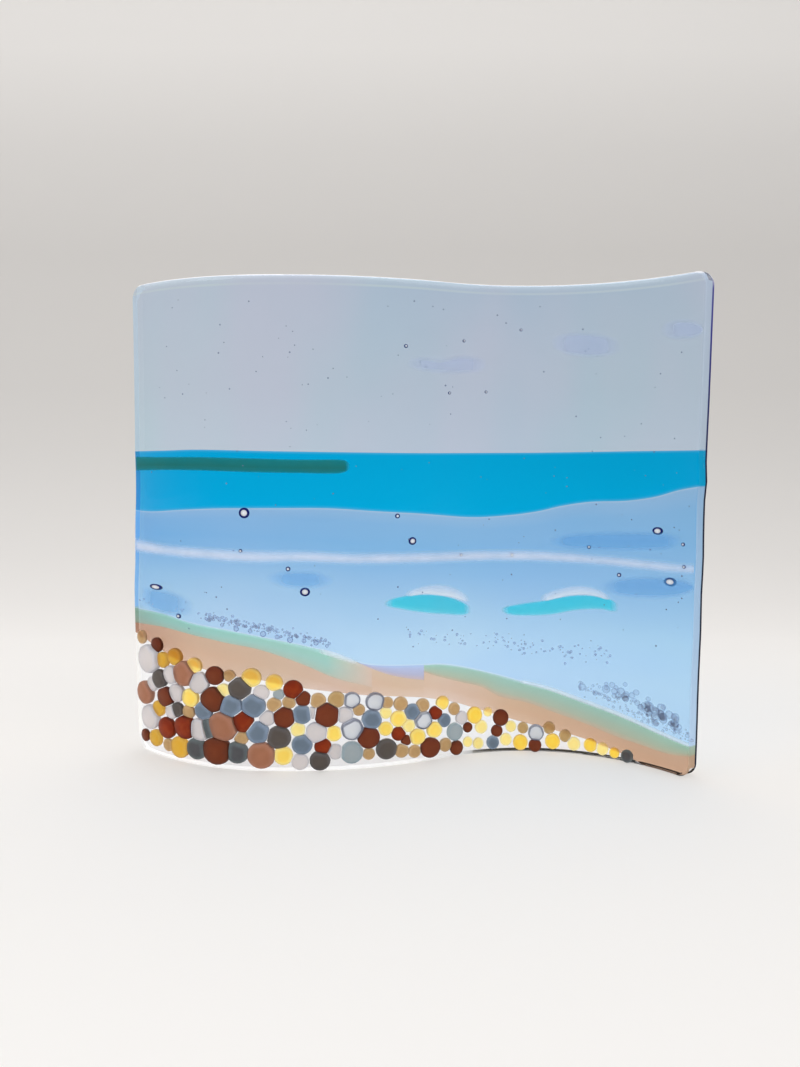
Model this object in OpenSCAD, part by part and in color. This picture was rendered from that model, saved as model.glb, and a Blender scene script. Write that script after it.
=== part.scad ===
/* [Panel] */

// Height of the panel from its resting edge to its top rim
panel_height = 208; // [160:1:260]
// Thickness of the clear sheet at the back
back_glass = 3; // [2:0.25:5]
// Thickness of the coloured sheets on the front
front_glass = 3; // [2:0.25:5]
// Radius of the panel's four corners
corner_radius = 6; // [3:0.5:12]
// Radius of the fire-polished top rim on each face
rim_radius = 2.2; // [1:0.1:3]
// Radius of the softened resting edge on each face
foot_radius = 1; // [0.4:0.1:1.5]
// How much further the left edge reaches at its foot than at its top
left_lean = 7.5; // [0:0.5:10]
// How far the cut side edges wander in and out
edge_wander = 0.8; // [0.2:0.1:2]

/* [Wave] */

// Radius of the tight bend at the left
near_bend_radius = 86; // [60:1:120]
// Turn of the tight bend at the left, in degrees
near_bend_turn = 47; // [30:1:55]
// Radius of the easy bend in the middle
easy_bend_radius = 145; // [110:1:200]
// Turn of the easy bend in the middle, in degrees
easy_bend_turn = 31; // [20:1:40]
// Radius of the hollow bend at the right
far_bend_radius = 83; // [60:1:120]
// Turn of the hollow bend at the right, in degrees
far_bend_turn = 83; // [60:1:95]
// Heading of the left end away from square, in degrees
start_turn = 51; // [40:1:58]

/* [Slivers] */

// How far the thin laid-on slivers stand proud of the front face
sliver_rise = 0.5; // [0.3:0.1:1.2]
// How far the froth grains stand proud of the front face
froth_rise = 0.45; // [0.3:0.05:1]

/* [Pebbles] */

// Size of a pebble for each pixel that it measures in the photograph
pebble_pixel = 0.445; // [0.3:0.005:0.5]
// Height of a pebble as a share of its diameter
pebble_rise_share = 0.34; // [0.22:0.01:0.45]
// Seam between two pebbles that meet
pebble_seam = 0.14; // [0.08:0.02:0.3]
// Least height of a pebble above the resting edge
pebble_foot = 0.4; // [0.2:0.1:2]

/* [Hidden] */

$fn = 64;
bend_facets = 720;
cap_facets = 180;
overrun = 20;

// Wave: headings along the middle of the back sheet, from left to right
heading_start = -start_turn;
heading_near = heading_start + near_bend_turn;
heading_easy = heading_near + easy_bend_turn;
heading_end = heading_easy - far_bend_turn;

function arc_length(radius, turn) = radius * turn * PI / 180;
near_length = arc_length(near_bend_radius, near_bend_turn);
easy_length = arc_length(easy_bend_radius, easy_bend_turn);
far_length = arc_length(far_bend_radius, far_bend_turn);
panel_length = near_length + easy_length + far_length;

// Unit normal that points to the viewer from a stretch with that heading
function toward(heading) = [sin(heading), -cos(heading)];

raw_near_centre = -near_bend_radius * toward(heading_start);
raw_easy_start = raw_near_centre + near_bend_radius * toward(heading_near);
raw_easy_centre = raw_easy_start - easy_bend_radius * toward(heading_near);
raw_far_start = raw_easy_centre + easy_bend_radius * toward(heading_easy);
raw_far_centre = raw_far_start + far_bend_radius * toward(heading_easy);
raw_end = raw_far_centre - far_bend_radius * toward(heading_end);

function raw_point(s) =
    s < near_length
    ? raw_near_centre + near_bend_radius * toward(heading_at(s))
    : s < near_length + easy_length
    ? raw_easy_centre + easy_bend_radius * toward(heading_at(s))
    : raw_far_centre - far_bend_radius * toward(heading_at(s));

function heading_at(s) =
    s < near_length
    ? heading_start + near_bend_turn * s / near_length
    : s < near_length + easy_length
    ? heading_near + easy_bend_turn * (s - near_length) / easy_length
    : heading_easy - far_bend_turn * (s - near_length - easy_length) / far_length;

// The resting edge passes over the origin, midway between the two ends
wave_steps = 90;
raw_path = [for (i = [0:wave_steps]) raw_point(panel_length * i / wave_steps)];
middle_x = raw_end[0] / 2;
middle_y = lookup(middle_x, raw_path);
middle = [middle_x, middle_y];
near_centre = raw_near_centre - middle;
easy_centre = raw_easy_centre - middle;
far_centre = raw_far_centre - middle;
far_end = raw_end - middle;

// Distances from the middle of the back sheet, positive toward the viewer
back_face = -back_glass / 2;
layer_face = back_glass / 2;
front_face = layer_face + front_glass;

function wave_point(s, off) = raw_point(s) - middle + off * toward(heading_at(s));

rim_back = min(rim_radius, back_glass * 0.9);
rim_front = min(rim_radius, front_glass * 0.9);

// Photograph: pixel columns of even shares of the panel's length, along its top rim
photo_middle = 400;
photo_columns = [
    [95, -0.1], [124.5, 0], [133.7, 0.03], [144.2, 0.06], [161.5, 0.1], [187, 0.15],
    [216.5, 0.2], [249.5, 0.25], [283.6, 0.3], [352.4, 0.4], [417.4, 0.5], [474.5, 0.6],
    [531, 0.7], [590.6, 0.8], [621, 0.85], [651.3, 0.9], [680.7, 0.95], [710, 1],
    [768, 1.1]
];
// Pixel rows of the top rim and the resting edge
photo_top = [
    [128, 287], [150, 281], [185, 278], [230, 275], [290, 274], [350, 275.5],
    [410, 280], [455, 282.6], [500, 285], [545, 285.3], [590, 284], [620, 282],
    [650, 278.4], [680, 273.8], [710, 270]
];
photo_foot = [
    [140, 745], [155, 751], [170, 757], [190, 762], [215, 767], [260, 771],
    [290, 771.5], [350, 769], [380, 767.5], [425, 761], [455, 756.5], [485, 752],
    [515, 750], [560, 751.6], [605, 757.4], [635, 763], [665, 770], [695, 780]
];
// The foot lies nearer the camera's level than the rim, so it shows smaller by this share
narrowing_share = 0.055;

function drop_share(px) =
    let (top = lookup(px[0], photo_top))
    (px[1] - top) / (lookup(px[0], photo_foot) - top);
function height_share(t) = (1 - t) / (1 - narrowing_share * t);
function length_share(px) =
    let (reach = (px[0] - photo_middle) / (1 - narrowing_share * drop_share(px)))
    lookup(photo_middle + reach, photo_columns);

// Place of a pixel on the panel: distance along it and height
function placed(px) = [
    panel_length * length_share(px),
    panel_height * height_share(drop_share(px))
];
// The same place on the front face, as width and height
function faced(px) =
    let (at = placed(px))
    [wave_point(at[0], front_face)[0], at[1]];

// Smooth line through a list of points
line_steps = 3;
function blend(a, b, c, d, t) =
    0.5 * (2 * b + (c - a) * t + (2 * a - 5 * b + 4 * c - d) * t * t
        + (3 * b - a - 3 * c + d) * t * t * t);
function smooth_line(pts) = [
    for (i = [0:len(pts) - 2]) for (k = [0:line_steps - 1])
        blend(
            pts[max(i - 1, 0)], pts[i], pts[i + 1],
            pts[min(i + 2, len(pts) - 1)], k / line_steps
        ),
    pts[len(pts) - 1]
];
function smooth_loop(pts) =
    let (n = len(pts))
    [
        for (i = [0:n - 1]) for (k = [0:line_steps - 1])
            blend(
                pts[(i + n - 1) % n], pts[i], pts[(i + 1) % n],
                pts[(i + 2) % n], k / line_steps
            )
    ];
function reversed(pts) = [for (i = [len(pts) - 1:-1:0]) pts[i]];
// A line that runs out past both ends of the panel
function run_out(pts) = concat(
    [[pts[0][0] - overrun, pts[0][1]]],
    pts,
    [[pts[len(pts) - 1][0] + overrun, pts[len(pts) - 1][1]]]
);
function seam_line(px_line) = run_out(smooth_line([for (p = px_line) faced(p)]));

// Seams between the coloured sheets, read from the photograph in pixels
strip_top_px = [
    [128, 451.5], [165, 450.5], [200, 449.6], [265, 451], [330, 452], [420, 453],
    [500, 452.8], [550, 452.5], [630, 451.2], [710, 450]
];
strip_foot_px = [
    [128, 508.5], [150, 511.5], [180, 510], [220, 508.5], [280, 508.3], [330, 508.5],
    [375, 511.3], [420, 513.7], [470, 517.3], [510, 515.2], [540, 511], [560, 506.3],
    [590, 502], [625, 501], [655, 497], [680, 490], [710, 485]
];
shore_px = [
    [128, 605], [160, 613], [190, 623], [225, 630], [260, 637], [300, 645],
    [330, 652.5], [356, 662], [380, 665.5], [424, 665], [440, 664.3], [461, 666.7],
    [498, 675], [528, 683.5], [556, 691], [584, 701.7], [612, 711.6], [640, 724],
    [668, 737.5], [695, 748.5], [710, 753]
];
sage_left_px = [
    [100, 590], [160, 590], [260, 600], [340, 640], [350, 659], [362, 667.5],
    [371, 677.5], [377, 688], [363, 685], [335, 678], [300, 663.5], [260, 650], [228, 643.5],
    [200, 637], [160, 626.5], [128, 620.5], [100, 618]
];
sage_right_px = [
    [424, 640], [560, 640], [760, 700], [760, 759.5], [710, 759], [695, 757.5],
    [668, 754], [640, 744.5], [612, 735], [584, 723], [556, 713], [528, 703],
    [500, 696.5], [482, 687], [461, 682], [440, 677], [424, 672]
];
wash_px = [
    [357, 640], [424, 640], [424, 672], [424, 680], [408, 678.5], [390, 675], [371, 668.5],
    [357, 662]
];
sand_foot_px = [
    [128, 626], [142, 636], [155, 646], [167, 653], [180, 660], [200, 668], [230, 675.5],
    [260, 680], [295, 687], [330, 691.5], [363, 695], [400, 696.5], [426, 697.8],
    [454, 702], [475, 708], [500, 715.5], [528, 723.5], [556, 730.5], [584, 738.5],
    [612, 749.5], [633, 759], [647, 769], [660, 780], [674, 791]
];

strip_top = seam_line(strip_top_px);
strip_foot = seam_line(strip_foot_px);
shore_line = seam_line(shore_px);
sand_foot = seam_line(sand_foot_px);
sage_left = [for (p = sage_left_px) faced(p)];
sage_right = [for (p = sage_right_px) faced(p)];
wash = [for (p = wash_px) faced(p)];
shore_to_sand = concat(sand_foot, reversed(shore_line));

// Laid-on slivers, read from the photograph in pixels
headland_px = [
    [106, 457.2], [165, 456.6], [200, 456.5], [250, 457.8], [300, 459], [335, 459],
    [346, 460.5], [351, 466], [347, 471.5], [335, 474], [300, 473.6], [260, 473],
    [230, 472], [200, 471], [165, 470.4], [106, 470]
];
foam_px = [
    [106, 533], [160, 545], [200, 549], [250, 552], [300, 552.5], [350, 554.5], [400, 554],
    [440, 553], [490, 551.6], [540, 552], [600, 556.5], [640, 560.5], [680, 565],
    [730, 568.5], [730, 573], [680, 571.5], [640, 567.5], [600, 563.5], [540, 560],
    [490, 559.6], [440, 561], [400, 562], [350, 562.5], [300, 560.5], [250, 561],
    [200, 557.5], [160, 553.5], [106, 543]
];
deep_px = [
    [
        [141, 590], [158, 589.5], [178, 595], [196, 605], [190, 613], [172, 614],
        [155, 609], [143, 600]
    ],
    [[263, 577], [285, 572.5], [315, 573], [337, 580], [320, 586], [290, 586.5]],
    [
        [546, 541], [575, 534], [615, 532.5], [655, 533], [684, 538], [676, 547],
        [640, 550], [600, 549.5], [565, 547]
    ],
    [
        [598, 586], [620, 579.5], [650, 577.5], [680, 580], [694, 587], [680, 595],
        [650, 597], [618, 594]
    ]
];
wave_left_px = [
    [383, 604], [400, 597.5], [425, 595], [450, 598], [471, 608], [465, 614],
    [440, 613.2], [418, 611], [400, 608]
];
wave_right_px = [
    [500, 609.5], [518, 605], [545, 601], [570, 596.4], [592, 596.2], [610, 600],
    [619, 606], [616, 611], [600, 608.4], [575, 609.4], [548, 614], [515, 614.5]
];
crest_left_px = [
    [405, 593.5], [420, 587.5], [438, 585], [455, 588.5], [469, 597.6], [467, 601],
    [450, 596.4], [425, 593.6], [408, 595.8]
];
crest_right_px = [
    [540, 597], [556, 590], [578, 586], [597, 589.5], [611, 597.5], [609, 600.4],
    [592, 595], [570, 595], [545, 600.4]
];
surf_left_px = [
    [318, 648.5], [330, 650.6], [345, 655.6], [358, 661.2], [357, 664.4], [343, 660.6],
    [330, 656.4], [319, 653]
];
surf_right_px = [
    [520, 679.5], [545, 684.6], [570, 693.2], [598, 703.4], [626, 714.4], [654, 727.4],
    [682, 739.6], [700, 747.6], [698, 750.6], [680, 744], [652, 731.6], [624, 719],
    [596, 708], [568, 697.8], [543, 688.8], [520, 683]
];
clouds_px = [
    [
        [403, 364], [418, 358.5], [440, 361], [462, 357], [488, 361], [484, 369.5],
        [455, 372.5], [425, 370]
    ],
    [
        [548, 343], [562, 335.5], [590, 334.5], [618, 341], [622, 350], [598, 355.5],
        [568, 353]
    ],
    [[657, 330], [670, 323], [690, 322], [703, 328], [696, 336], [672, 337.5]]
];

// Froth grains: column, row and size in pixels
froth_left_px = [
    [209, 620, 6], [222, 625, 5], [236, 629, 7], [250, 631, 6], [263, 634, 8],
    [277, 637, 6], [290, 640, 8], [304, 641, 6], [316, 643, 7], [327, 646, 5]
];
froth_right_px = [
    [582, 687, 10], [595, 693, 7], [612, 685, 8], [614, 696, 7], [625, 684.5, 6],
    [626, 694.5, 8.5], [636, 692.5, 8], [637, 703, 8], [648, 699, 6.5], [651, 708.5, 9],
    [663, 707, 7], [662, 717.5, 7], [674, 717, 8], [679, 727, 7], [687, 736, 6]
];

// Pebbles: column, row and height in pixels, group by group
white_px = [
    [147, 659, 27], [170, 675, 17], [198, 683, 20], [152, 684, 14], [176, 693, 17],
    [149, 717, 23], [171, 711.5, 14], [199, 730, 21], [261, 693, 14], [267, 718.6, 14],
    [313, 713, 11], [345, 715.5, 15], [316.5, 733, 19], [335.5, 752, 14], [300, 762, 15],
    [462, 718, 13]
];
ringed_px = [
    [352, 700.6, 15], [375.4, 702, 17], [352.6, 729.6, 20], [424, 720.5, 17], [536, 733, 16]
];
aqua_px = [[278.6, 694.5, 10], [352, 753, 20], [455.5, 732, 17]];
amber_px = [
    [162, 660, 15], [174, 657, 16], [158, 708.5, 15], [155, 738, 16], [179, 747.5, 20],
    [475, 715.5, 16], [520.5, 742.6, 15], [552.5, 741.6, 15], [590, 745.4, 13],
    [614, 753, 10]
];
yellow_px = [
    [193.5, 666, 15], [189.5, 698, 17], [251, 678, 17], [274, 683, 15], [334, 734, 14],
    [283, 756, 17], [443, 703, 13], [399, 719, 15], [386, 729, 13], [418, 737, 15],
    [435, 730, 15]
];
lemon_px = [
    [223, 691, 13], [386, 713, 11], [298, 730, 13], [409, 726, 12], [468, 742, 10],
    [478.5, 743.5, 11], [488, 712, 9], [481.5, 727, 13], [511, 726.5, 11],
    [506, 739.6, 12], [573.6, 744, 13], [602, 749, 12]
];
tan_px = [
    [141, 637, 13], [188, 712, 13], [168, 745, 12], [229, 676, 11], [274, 705, 13],
    [289, 702.5, 12], [241, 738, 13], [318, 701, 14], [387.5, 703, 11], [359, 710, 11],
    [369, 754, 11], [401, 704, 13], [423, 705.6, 13], [454.6, 709, 12], [402, 751, 13],
    [415, 751.6, 12], [446, 745, 13]
];
olive_px = [[336.6, 700, 15], [523, 728, 11], [549, 728, 12], [565, 736, 12]];
brown_px = [
    [164.5, 697, 19], [214, 676, 17], [303, 699, 14], [284, 718, 19], [327, 715.5, 22],
    [369, 738, 20], [406.5, 740.5, 10], [431, 748, 19], [501, 718, 16], [497, 731, 12],
    [535, 746, 13]
];
rust_px = [
    [166, 728, 20], [184, 727.5, 22], [242, 722, 20], [293, 690, 17], [323, 747, 15],
    [399, 734, 13], [436, 713, 13]
];
dark_brown_px = [
    [156, 645, 14], [145, 735, 12], [468, 727.5, 10], [457, 748, 14], [212, 700, 23],
    [216, 751, 26]
];
pink_px = [[183, 674, 23], [144, 692.5, 22], [222, 727, 27], [261, 756, 24]];
charcoal_px = [
    [158.5, 679, 18], [177, 710, 14], [239, 689, 20], [278.6, 738, 21], [320, 761, 18],
    [387, 749.5, 19]
];
slate_px = [
    [203, 711, 17], [230, 707, 21], [253, 706.5, 21], [257.6, 733, 20], [302, 715, 17],
    [372, 720, 18], [302, 745, 18], [413, 712, 15], [445, 720.5, 13], [493, 742.6, 13]
];
dark_slate_px = [[208, 729, 19], [196, 749, 20], [236.6, 753, 20], [626.5, 757, 12]];

pebble_groups = [
    white_px, ringed_px, aqua_px, amber_px, yellow_px, lemon_px, tan_px, olive_px,
    brown_px, rust_px, dark_brown_px, pink_px, charcoal_px, slate_px, dark_slate_px
];

// Place and radius of a pebble, kept on the panel's front face
function seated(px) =
    let (at = placed(px), r = px[2] * pebble_pixel / 2)
    [max(at[0], r), max(at[1], r + pebble_foot), r];
pebbles = [for (group = pebble_groups) for (px = group) seated(px)];

function cut_cell(pts, way, reach) =
    let (n = len(pts))
    [
        for (i = [0:n - 1])
            let (
                a = pts[i],
                b = pts[(i + 1) % n],
                in_a = a * way - reach,
                in_b = b * way - reach,
                crossing = a + (b - a) * (in_a / (in_a - in_b))
            )
            each (
                in_a <= 0
                ? (in_b <= 0 ? [a] : [a, crossing])
                : (in_b <= 0 ? [crossing] : [])
            )
    ];
function cut_all(pts, cuts, k) =
    k == len(cuts) ? pts : cut_all(cut_cell(pts, cuts[k][0], cuts[k][1]), cuts, k + 1);

function hollow_here(s) = s > near_length + easy_length;
// Cuts where a pebble meets its neighbours, each a direction and a distance
function pebble_cuts(pebble) = [
    for (other = pebbles)
        let (
            gap = [other[0] - pebble[0], other[1] - pebble[1]],
            apart = norm(gap),
            r = pebble[2],
            lean = hollow_here(pebble[0])
                ? 2 * r * pebble_rise_share * abs(gap[0]) / far_bend_radius / 2
                : 0
        )
        if (apart > 0 && apart < r + other[2] + pebble_seam)
            [gap / apart, (apart + (r * r - other[2] * other[2]) / apart) / 2
                - pebble_seam / 2 - lean]
];
function pebble_cell(pebble) =
    let (w = pebble[2] * 2)
    cut_all([[-w, -w], [w, -w], [w, w], [-w, w]], pebble_cuts(pebble), 0);

// Quarter that a rounded corner loses, with the corner at the origin
module corner_waste(r) {
    difference() {
        translate([-overrun, -overrun])
            square(overrun + r);
        translate([r, r])
            circle(r);
        translate([r, -overrun])
            square([r, overrun * 2]);
        translate([-overrun, r])
            square([overrun * 2, r]);
    }
}

// Section of a layer: across it toward the viewer, and up
module layer_section(inner, outer, rim_in, rim_out, foot_in, foot_out) {
    difference() {
        translate([inner, 0])
            square([outer - inner, panel_height]);
        if (rim_out > 0) {
            translate([outer, panel_height])
                rotate(180)
                    corner_waste(rim_out);
            translate([outer, 0])
                rotate(90)
                    corner_waste(foot_out);
        }
        if (rim_in > 0) {
            translate([inner, panel_height])
                rotate(-90)
                    corner_waste(rim_in);
            translate([inner, 0])
                corner_waste(foot_in);
        }
    }
}

// Moves its children by whole hundredths first and then by the small rest
module placed_finely(v) {
    coarse = [for (c = v) round(c * 100) / 100];
    translate(coarse)
        translate(v - coarse)
            children();
}

// The stretch of the wave between two distances along it, with room on both faces
stretch_steps = 5;
end_spare = corner_radius;
module stretch(from, to) {
    spots = [for (i = [0:stretch_steps]) from + (to - from) * i / stretch_steps];
    translate([0, 0, -overrun])
        linear_extrude(height = panel_height + overrun * 2)
            polygon(concat(
                [for (s = spots) wave_point(s, overrun)],
                [for (s = reversed(spots)) wave_point(s, -overrun)]
            ));
}

// Sweeps a section of the wave, drawn as distance toward the viewer and height
module swept() {
    intersection() {
        placed_finely(near_centre)
            rotate_extrude()
                translate([near_bend_radius, 0])
                    children();
        stretch(-end_spare, near_length);
    }
    intersection() {
        placed_finely(easy_centre)
            rotate_extrude()
                translate([easy_bend_radius, 0])
                    children();
        stretch(near_length, near_length + easy_length);
    }
    intersection() {
        placed_finely(far_centre)
            rotate_extrude()
                translate([far_bend_radius, 0])
                    mirror([1, 0])
                        children();
        stretch(near_length + easy_length, panel_length + end_spare);
    }
}

// Side edges: share of the height, and share of the depth that the cut wanders in
left_edge_shares = [
    [0, 0.19], [0.12, 0.08], [0.22, 0.05], [0.3, 0.07], [0.36, 0.12], [0.42, 0.34],
    [0.5, 0.49], [0.56, 0.68], [0.62, 0.75], [0.66, 0.74], [0.72, 0.82], [0.82, 0.9],
    [0.92, 0.97], [1, 1]
];
right_edge_shares = [
    [0, 0.9], [0.1, 0.8], [0.2, 0.9], [0.3, 0.6], [0.37, 0.9], [0.44, 0.5],
    [0.5, 0.9], [0.56, 1], [0.6, 0.2], [0.64, 0.9], [0.75, 0.5], [0.88, 0.3], [1, 0.1]
];

corner_steps = 8;
// Turn of a corner's arc, which ends in a short upright step and not along the edge
corner_turn = 82;
function corner_arc(centre, from, to) = [
    for (i = [0:corner_steps])
        let (turn = from + (to - from) * i / corner_steps)
        centre + corner_radius * [cos(turn), sin(turn)]
];

// What a side edge leaves outside it, in distance along the panel and height
module side_waste(inset_shares, depth) {
    line = [for (p = smooth_line(inset_shares)) [depth * p[1], panel_height * p[0]]];
    edge = [
        for (p = line)
            if (p[1] > corner_radius && p[1] < panel_height - corner_radius) p
    ];
    foot = line[0][0] + corner_radius;
    top = line[len(line) - 1][0] + corner_radius;
    step = corner_radius * cos(corner_turn);
    polygon(concat(
        [[-overrun, -overrun], [foot - step, -overrun]],
        corner_arc([foot, corner_radius], 180 + corner_turn, 180),
        edge,
        corner_arc([top, panel_height - corner_radius], 180, 180 - corner_turn),
        [[top - step, panel_height + overrun], [-overrun, panel_height + overrun]]
    ));
}

module trimmed() {
    difference() {
        children();
        translate(wave_point(0, 0))
            rotate([90, 0, heading_start])
                linear_extrude(height = overrun, center = true)
                    side_waste(left_edge_shares, left_lean);
        translate(far_end)
            rotate([90, 0, heading_end])
                linear_extrude(height = overrun, center = true)
                    mirror([1, 0])
                        side_waste(right_edge_shares, edge_wander);
    }
}

// A flat outline, in width and height, that cuts through the whole wave
module through_wave(pts) {
    rotate([90, 0, 0])
        linear_extrude(height = near_bend_radius + far_bend_radius, center = true)
            polygon(pts);
}

module front_layer() {
    trimmed()
        swept()
            layer_section(layer_face, front_face, 0, rim_front, 0, foot_radius);
}

module front_piece(pts) {
    intersection() {
        front_layer();
        through_wave(pts);
    }
}

// What lies before the front face, up to a height above it
module front_skin(rise) {
    swept()
        translate([front_face, 0])
            square([rise, panel_height]);
}

module sliver(pts) {
    intersection() {
        trimmed()
            front_skin(sliver_rise);
        through_wave(pts);
    }
}

module px_sliver(px_outline) {
    sliver(smooth_loop([for (p = px_outline) faced(p)]));
}

// Stands its children on the front face, with Z toward the viewer
module on_face(s, z) {
    at = wave_point(s, front_face);
    translate([at[0], at[1], z])
        rotate([90, 0, heading_at(s)])
            children();
}

// A cap that stands on the front face, in the frame of on_face
module dome(s, r, rise) {
    ball = (r * r + rise * rise) / (2 * rise);
    length = ball * 3;
    if (hollow_here(s)) {
        hollow = far_bend_radius - front_face;
        intersection() {
            translate([0, 0, rise - ball])
                rotate([90, 0, 0])
                    sphere(ball, $fn = cap_facets);
            translate([0, 0, hollow])
                rotate([90, 0, 0])
                    cylinder(r = hollow, h = length, center = true, $fn = bend_facets);
        }
    } else {
        swell = front_face + (s < near_length ? near_bend_radius : easy_bend_radius);
        difference() {
            translate([0, 0, rise - ball])
                rotate([90, 0, 0])
                    sphere(ball, $fn = cap_facets);
            translate([0, 0, -swell])
                rotate([90, 0, 0])
                    cylinder(r = swell, h = length, center = true, $fn = bend_facets);
        }
    }
}

module pebble(p) {
    rise = 2 * p[2] * pebble_rise_share;
    on_face(p[0], p[1])
        intersection() {
            dome(p[0], p[2], rise);
            translate([0, 0, -rise])
                linear_extrude(height = rise * 3)
                    polygon(pebble_cell(p));
        }
}

module pebble_group(px_list) {
    for (px = px_list)
        pebble(seated(px));
}

module froth(px_list) {
    intersection() {
        front_skin(froth_rise);
        for (px = px_list) {
            at = placed(px);
            on_face(at[0], at[1])
                cylinder(d = px[2] * pebble_pixel, h = overrun, center = true);
        }
    }
}

module back_sheet() {
    color([0.85, 0.93, 0.93, 0.5])
        trimmed()
            swept()
                layer_section(back_face, layer_face, rim_back, 0, foot_radius, 0);
}

module sky_sheet() {
    color([0.68, 0.73, 0.8])
        front_piece(concat(
            strip_top,
            [
                [far_end[0] + overrun * 2, panel_height + overrun],
                [-far_end[0] - overrun * 2, panel_height + overrun]
            ]
        ));
}

module horizon_strip() {
    color([0, 0.63, 0.84])
        front_piece(concat(strip_foot, reversed(strip_top)));
}

module sea_sheet() {
    color([0.58, 0.76, 0.91])
        front_piece(concat(shore_line, reversed(strip_foot)));
}

// The shore is cut from one band below the sea sheet's foot
module shore_piece(pts) {
    intersection() {
        front_piece(shore_to_sand);
        through_wave(pts);
    }
}

module shallows_left() {
    color([0.62, 0.76, 0.68])
        shore_piece(sage_left);
}

module shallows_right() {
    color([0.6, 0.76, 0.66])
        shore_piece(sage_right);
}

module wash_patch() {
    color([0.7, 0.73, 0.85])
        shore_piece(wash);
}

module sand_strip() {
    color([0.8, 0.68, 0.59])
        difference() {
            front_piece(shore_to_sand);
            through_wave(sage_left);
            through_wave(sage_right);
            through_wave(wash);
        }
}

module clear_foreshore() {
    color([0.93, 0.95, 0.95, 0.6])
        front_piece(concat(
            sand_foot,
            [
                [sand_foot[len(sand_foot) - 1][0], -overrun],
                [sand_foot[0][0], -overrun]
            ]
        ));
}

module headland() {
    color([0.12, 0.47, 0.44])
        px_sliver(headland_px);
}

module foam_line() {
    color([0.88, 0.92, 0.97])
        px_sliver(foam_px);
}

module deep_water_left() {
    color([0.42, 0.68, 0.9])
        px_sliver(deep_px[0]);
}

module deep_water_middle() {
    color([0.46, 0.7, 0.92])
        px_sliver(deep_px[1]);
}

module deep_water_upper_right() {
    color([0.38, 0.64, 0.88])
        px_sliver(deep_px[2]);
}

module deep_water_lower_right() {
    color([0.42, 0.68, 0.9])
        px_sliver(deep_px[3]);
}

module wave_left() {
    color([0.33, 0.78, 0.87])
        px_sliver(wave_left_px);
}

module wave_right() {
    color([0.33, 0.78, 0.87])
        px_sliver(wave_right_px);
}

module crest_left() {
    color([0.93, 0.95, 0.98])
        px_sliver(crest_left_px);
}

module crest_right() {
    color([0.93, 0.95, 0.98])
        px_sliver(crest_right_px);
}

module surf_left() {
    color([0.93, 0.95, 0.98])
        px_sliver(surf_left_px);
}

module surf_right() {
    color([0.93, 0.95, 0.98])
        px_sliver(surf_right_px);
}

module cloud_left() {
    color([0.66, 0.73, 0.86])
        px_sliver(clouds_px[0]);
}

module cloud_middle() {
    color([0.66, 0.73, 0.86])
        px_sliver(clouds_px[1]);
}

module cloud_right() {
    color([0.66, 0.73, 0.86])
        px_sliver(clouds_px[2]);
}

module froth_left() {
    color([0.7, 0.78, 0.9])
        froth(froth_left_px);
}

module froth_right() {
    color([0.7, 0.78, 0.9])
        froth(froth_right_px);
}

module pebbles_white() {
    color([0.88, 0.88, 0.9])
        pebble_group(white_px);
}

module pebbles_ringed() {
    color([0.8, 0.8, 0.84])
        pebble_group(ringed_px);
}

module pebbles_aqua() {
    color([0.69, 0.77, 0.79])
        pebble_group(aqua_px);
}

module pebbles_amber() {
    color([0.98, 0.78, 0.24])
        pebble_group(amber_px);
}

module pebbles_yellow() {
    color([0.96, 0.85, 0.36])
        pebble_group(yellow_px);
}

module pebbles_lemon() {
    color([0.94, 0.88, 0.6])
        pebble_group(lemon_px);
}

module pebbles_tan() {
    color([0.79, 0.67, 0.45])
        pebble_group(tan_px);
}

module pebbles_olive() {
    color([0.7, 0.59, 0.33])
        pebble_group(olive_px);
}

module pebbles_brown() {
    color([0.53, 0.24, 0.15])
        pebble_group(brown_px);
}

module pebbles_rust() {
    color([0.65, 0.2, 0.07])
        pebble_group(rust_px);
}

module pebbles_dark_brown() {
    color([0.43, 0.14, 0.1])
        pebble_group(dark_brown_px);
}

module pebbles_pink() {
    color([0.72, 0.5, 0.42])
        pebble_group(pink_px);
}

module pebbles_charcoal() {
    color([0.33, 0.31, 0.34])
        pebble_group(charcoal_px);
}

module pebbles_slate() {
    color([0.49, 0.57, 0.67])
        pebble_group(slate_px);
}

module pebbles_dark_slate() {
    color([0.27, 0.33, 0.37])
        pebble_group(dark_slate_px);
}

back_sheet();
sky_sheet();
horizon_strip();
sea_sheet();
shallows_left();
shallows_right();
wash_patch();
sand_strip();
clear_foreshore();
headland();
foam_line();
deep_water_left();
deep_water_middle();
deep_water_upper_right();
deep_water_lower_right();
wave_left();
wave_right();
crest_left();
crest_right();
surf_left();
surf_right();
cloud_left();
cloud_middle();
cloud_right();
froth_left();
froth_right();
pebbles_white();
pebbles_ringed();
pebbles_aqua();
pebbles_amber();
pebbles_yellow();
pebbles_lemon();
pebbles_tan();
pebbles_olive();
pebbles_brown();
pebbles_rust();
pebbles_dark_brown();
pebbles_pink();
pebbles_charcoal();
pebbles_slate();
pebbles_dark_slate();
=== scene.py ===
# Fused glass panel: coloured sheets of a shore, slumped into a wave, with glass pebbles along its foot.
import math
import random

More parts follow.
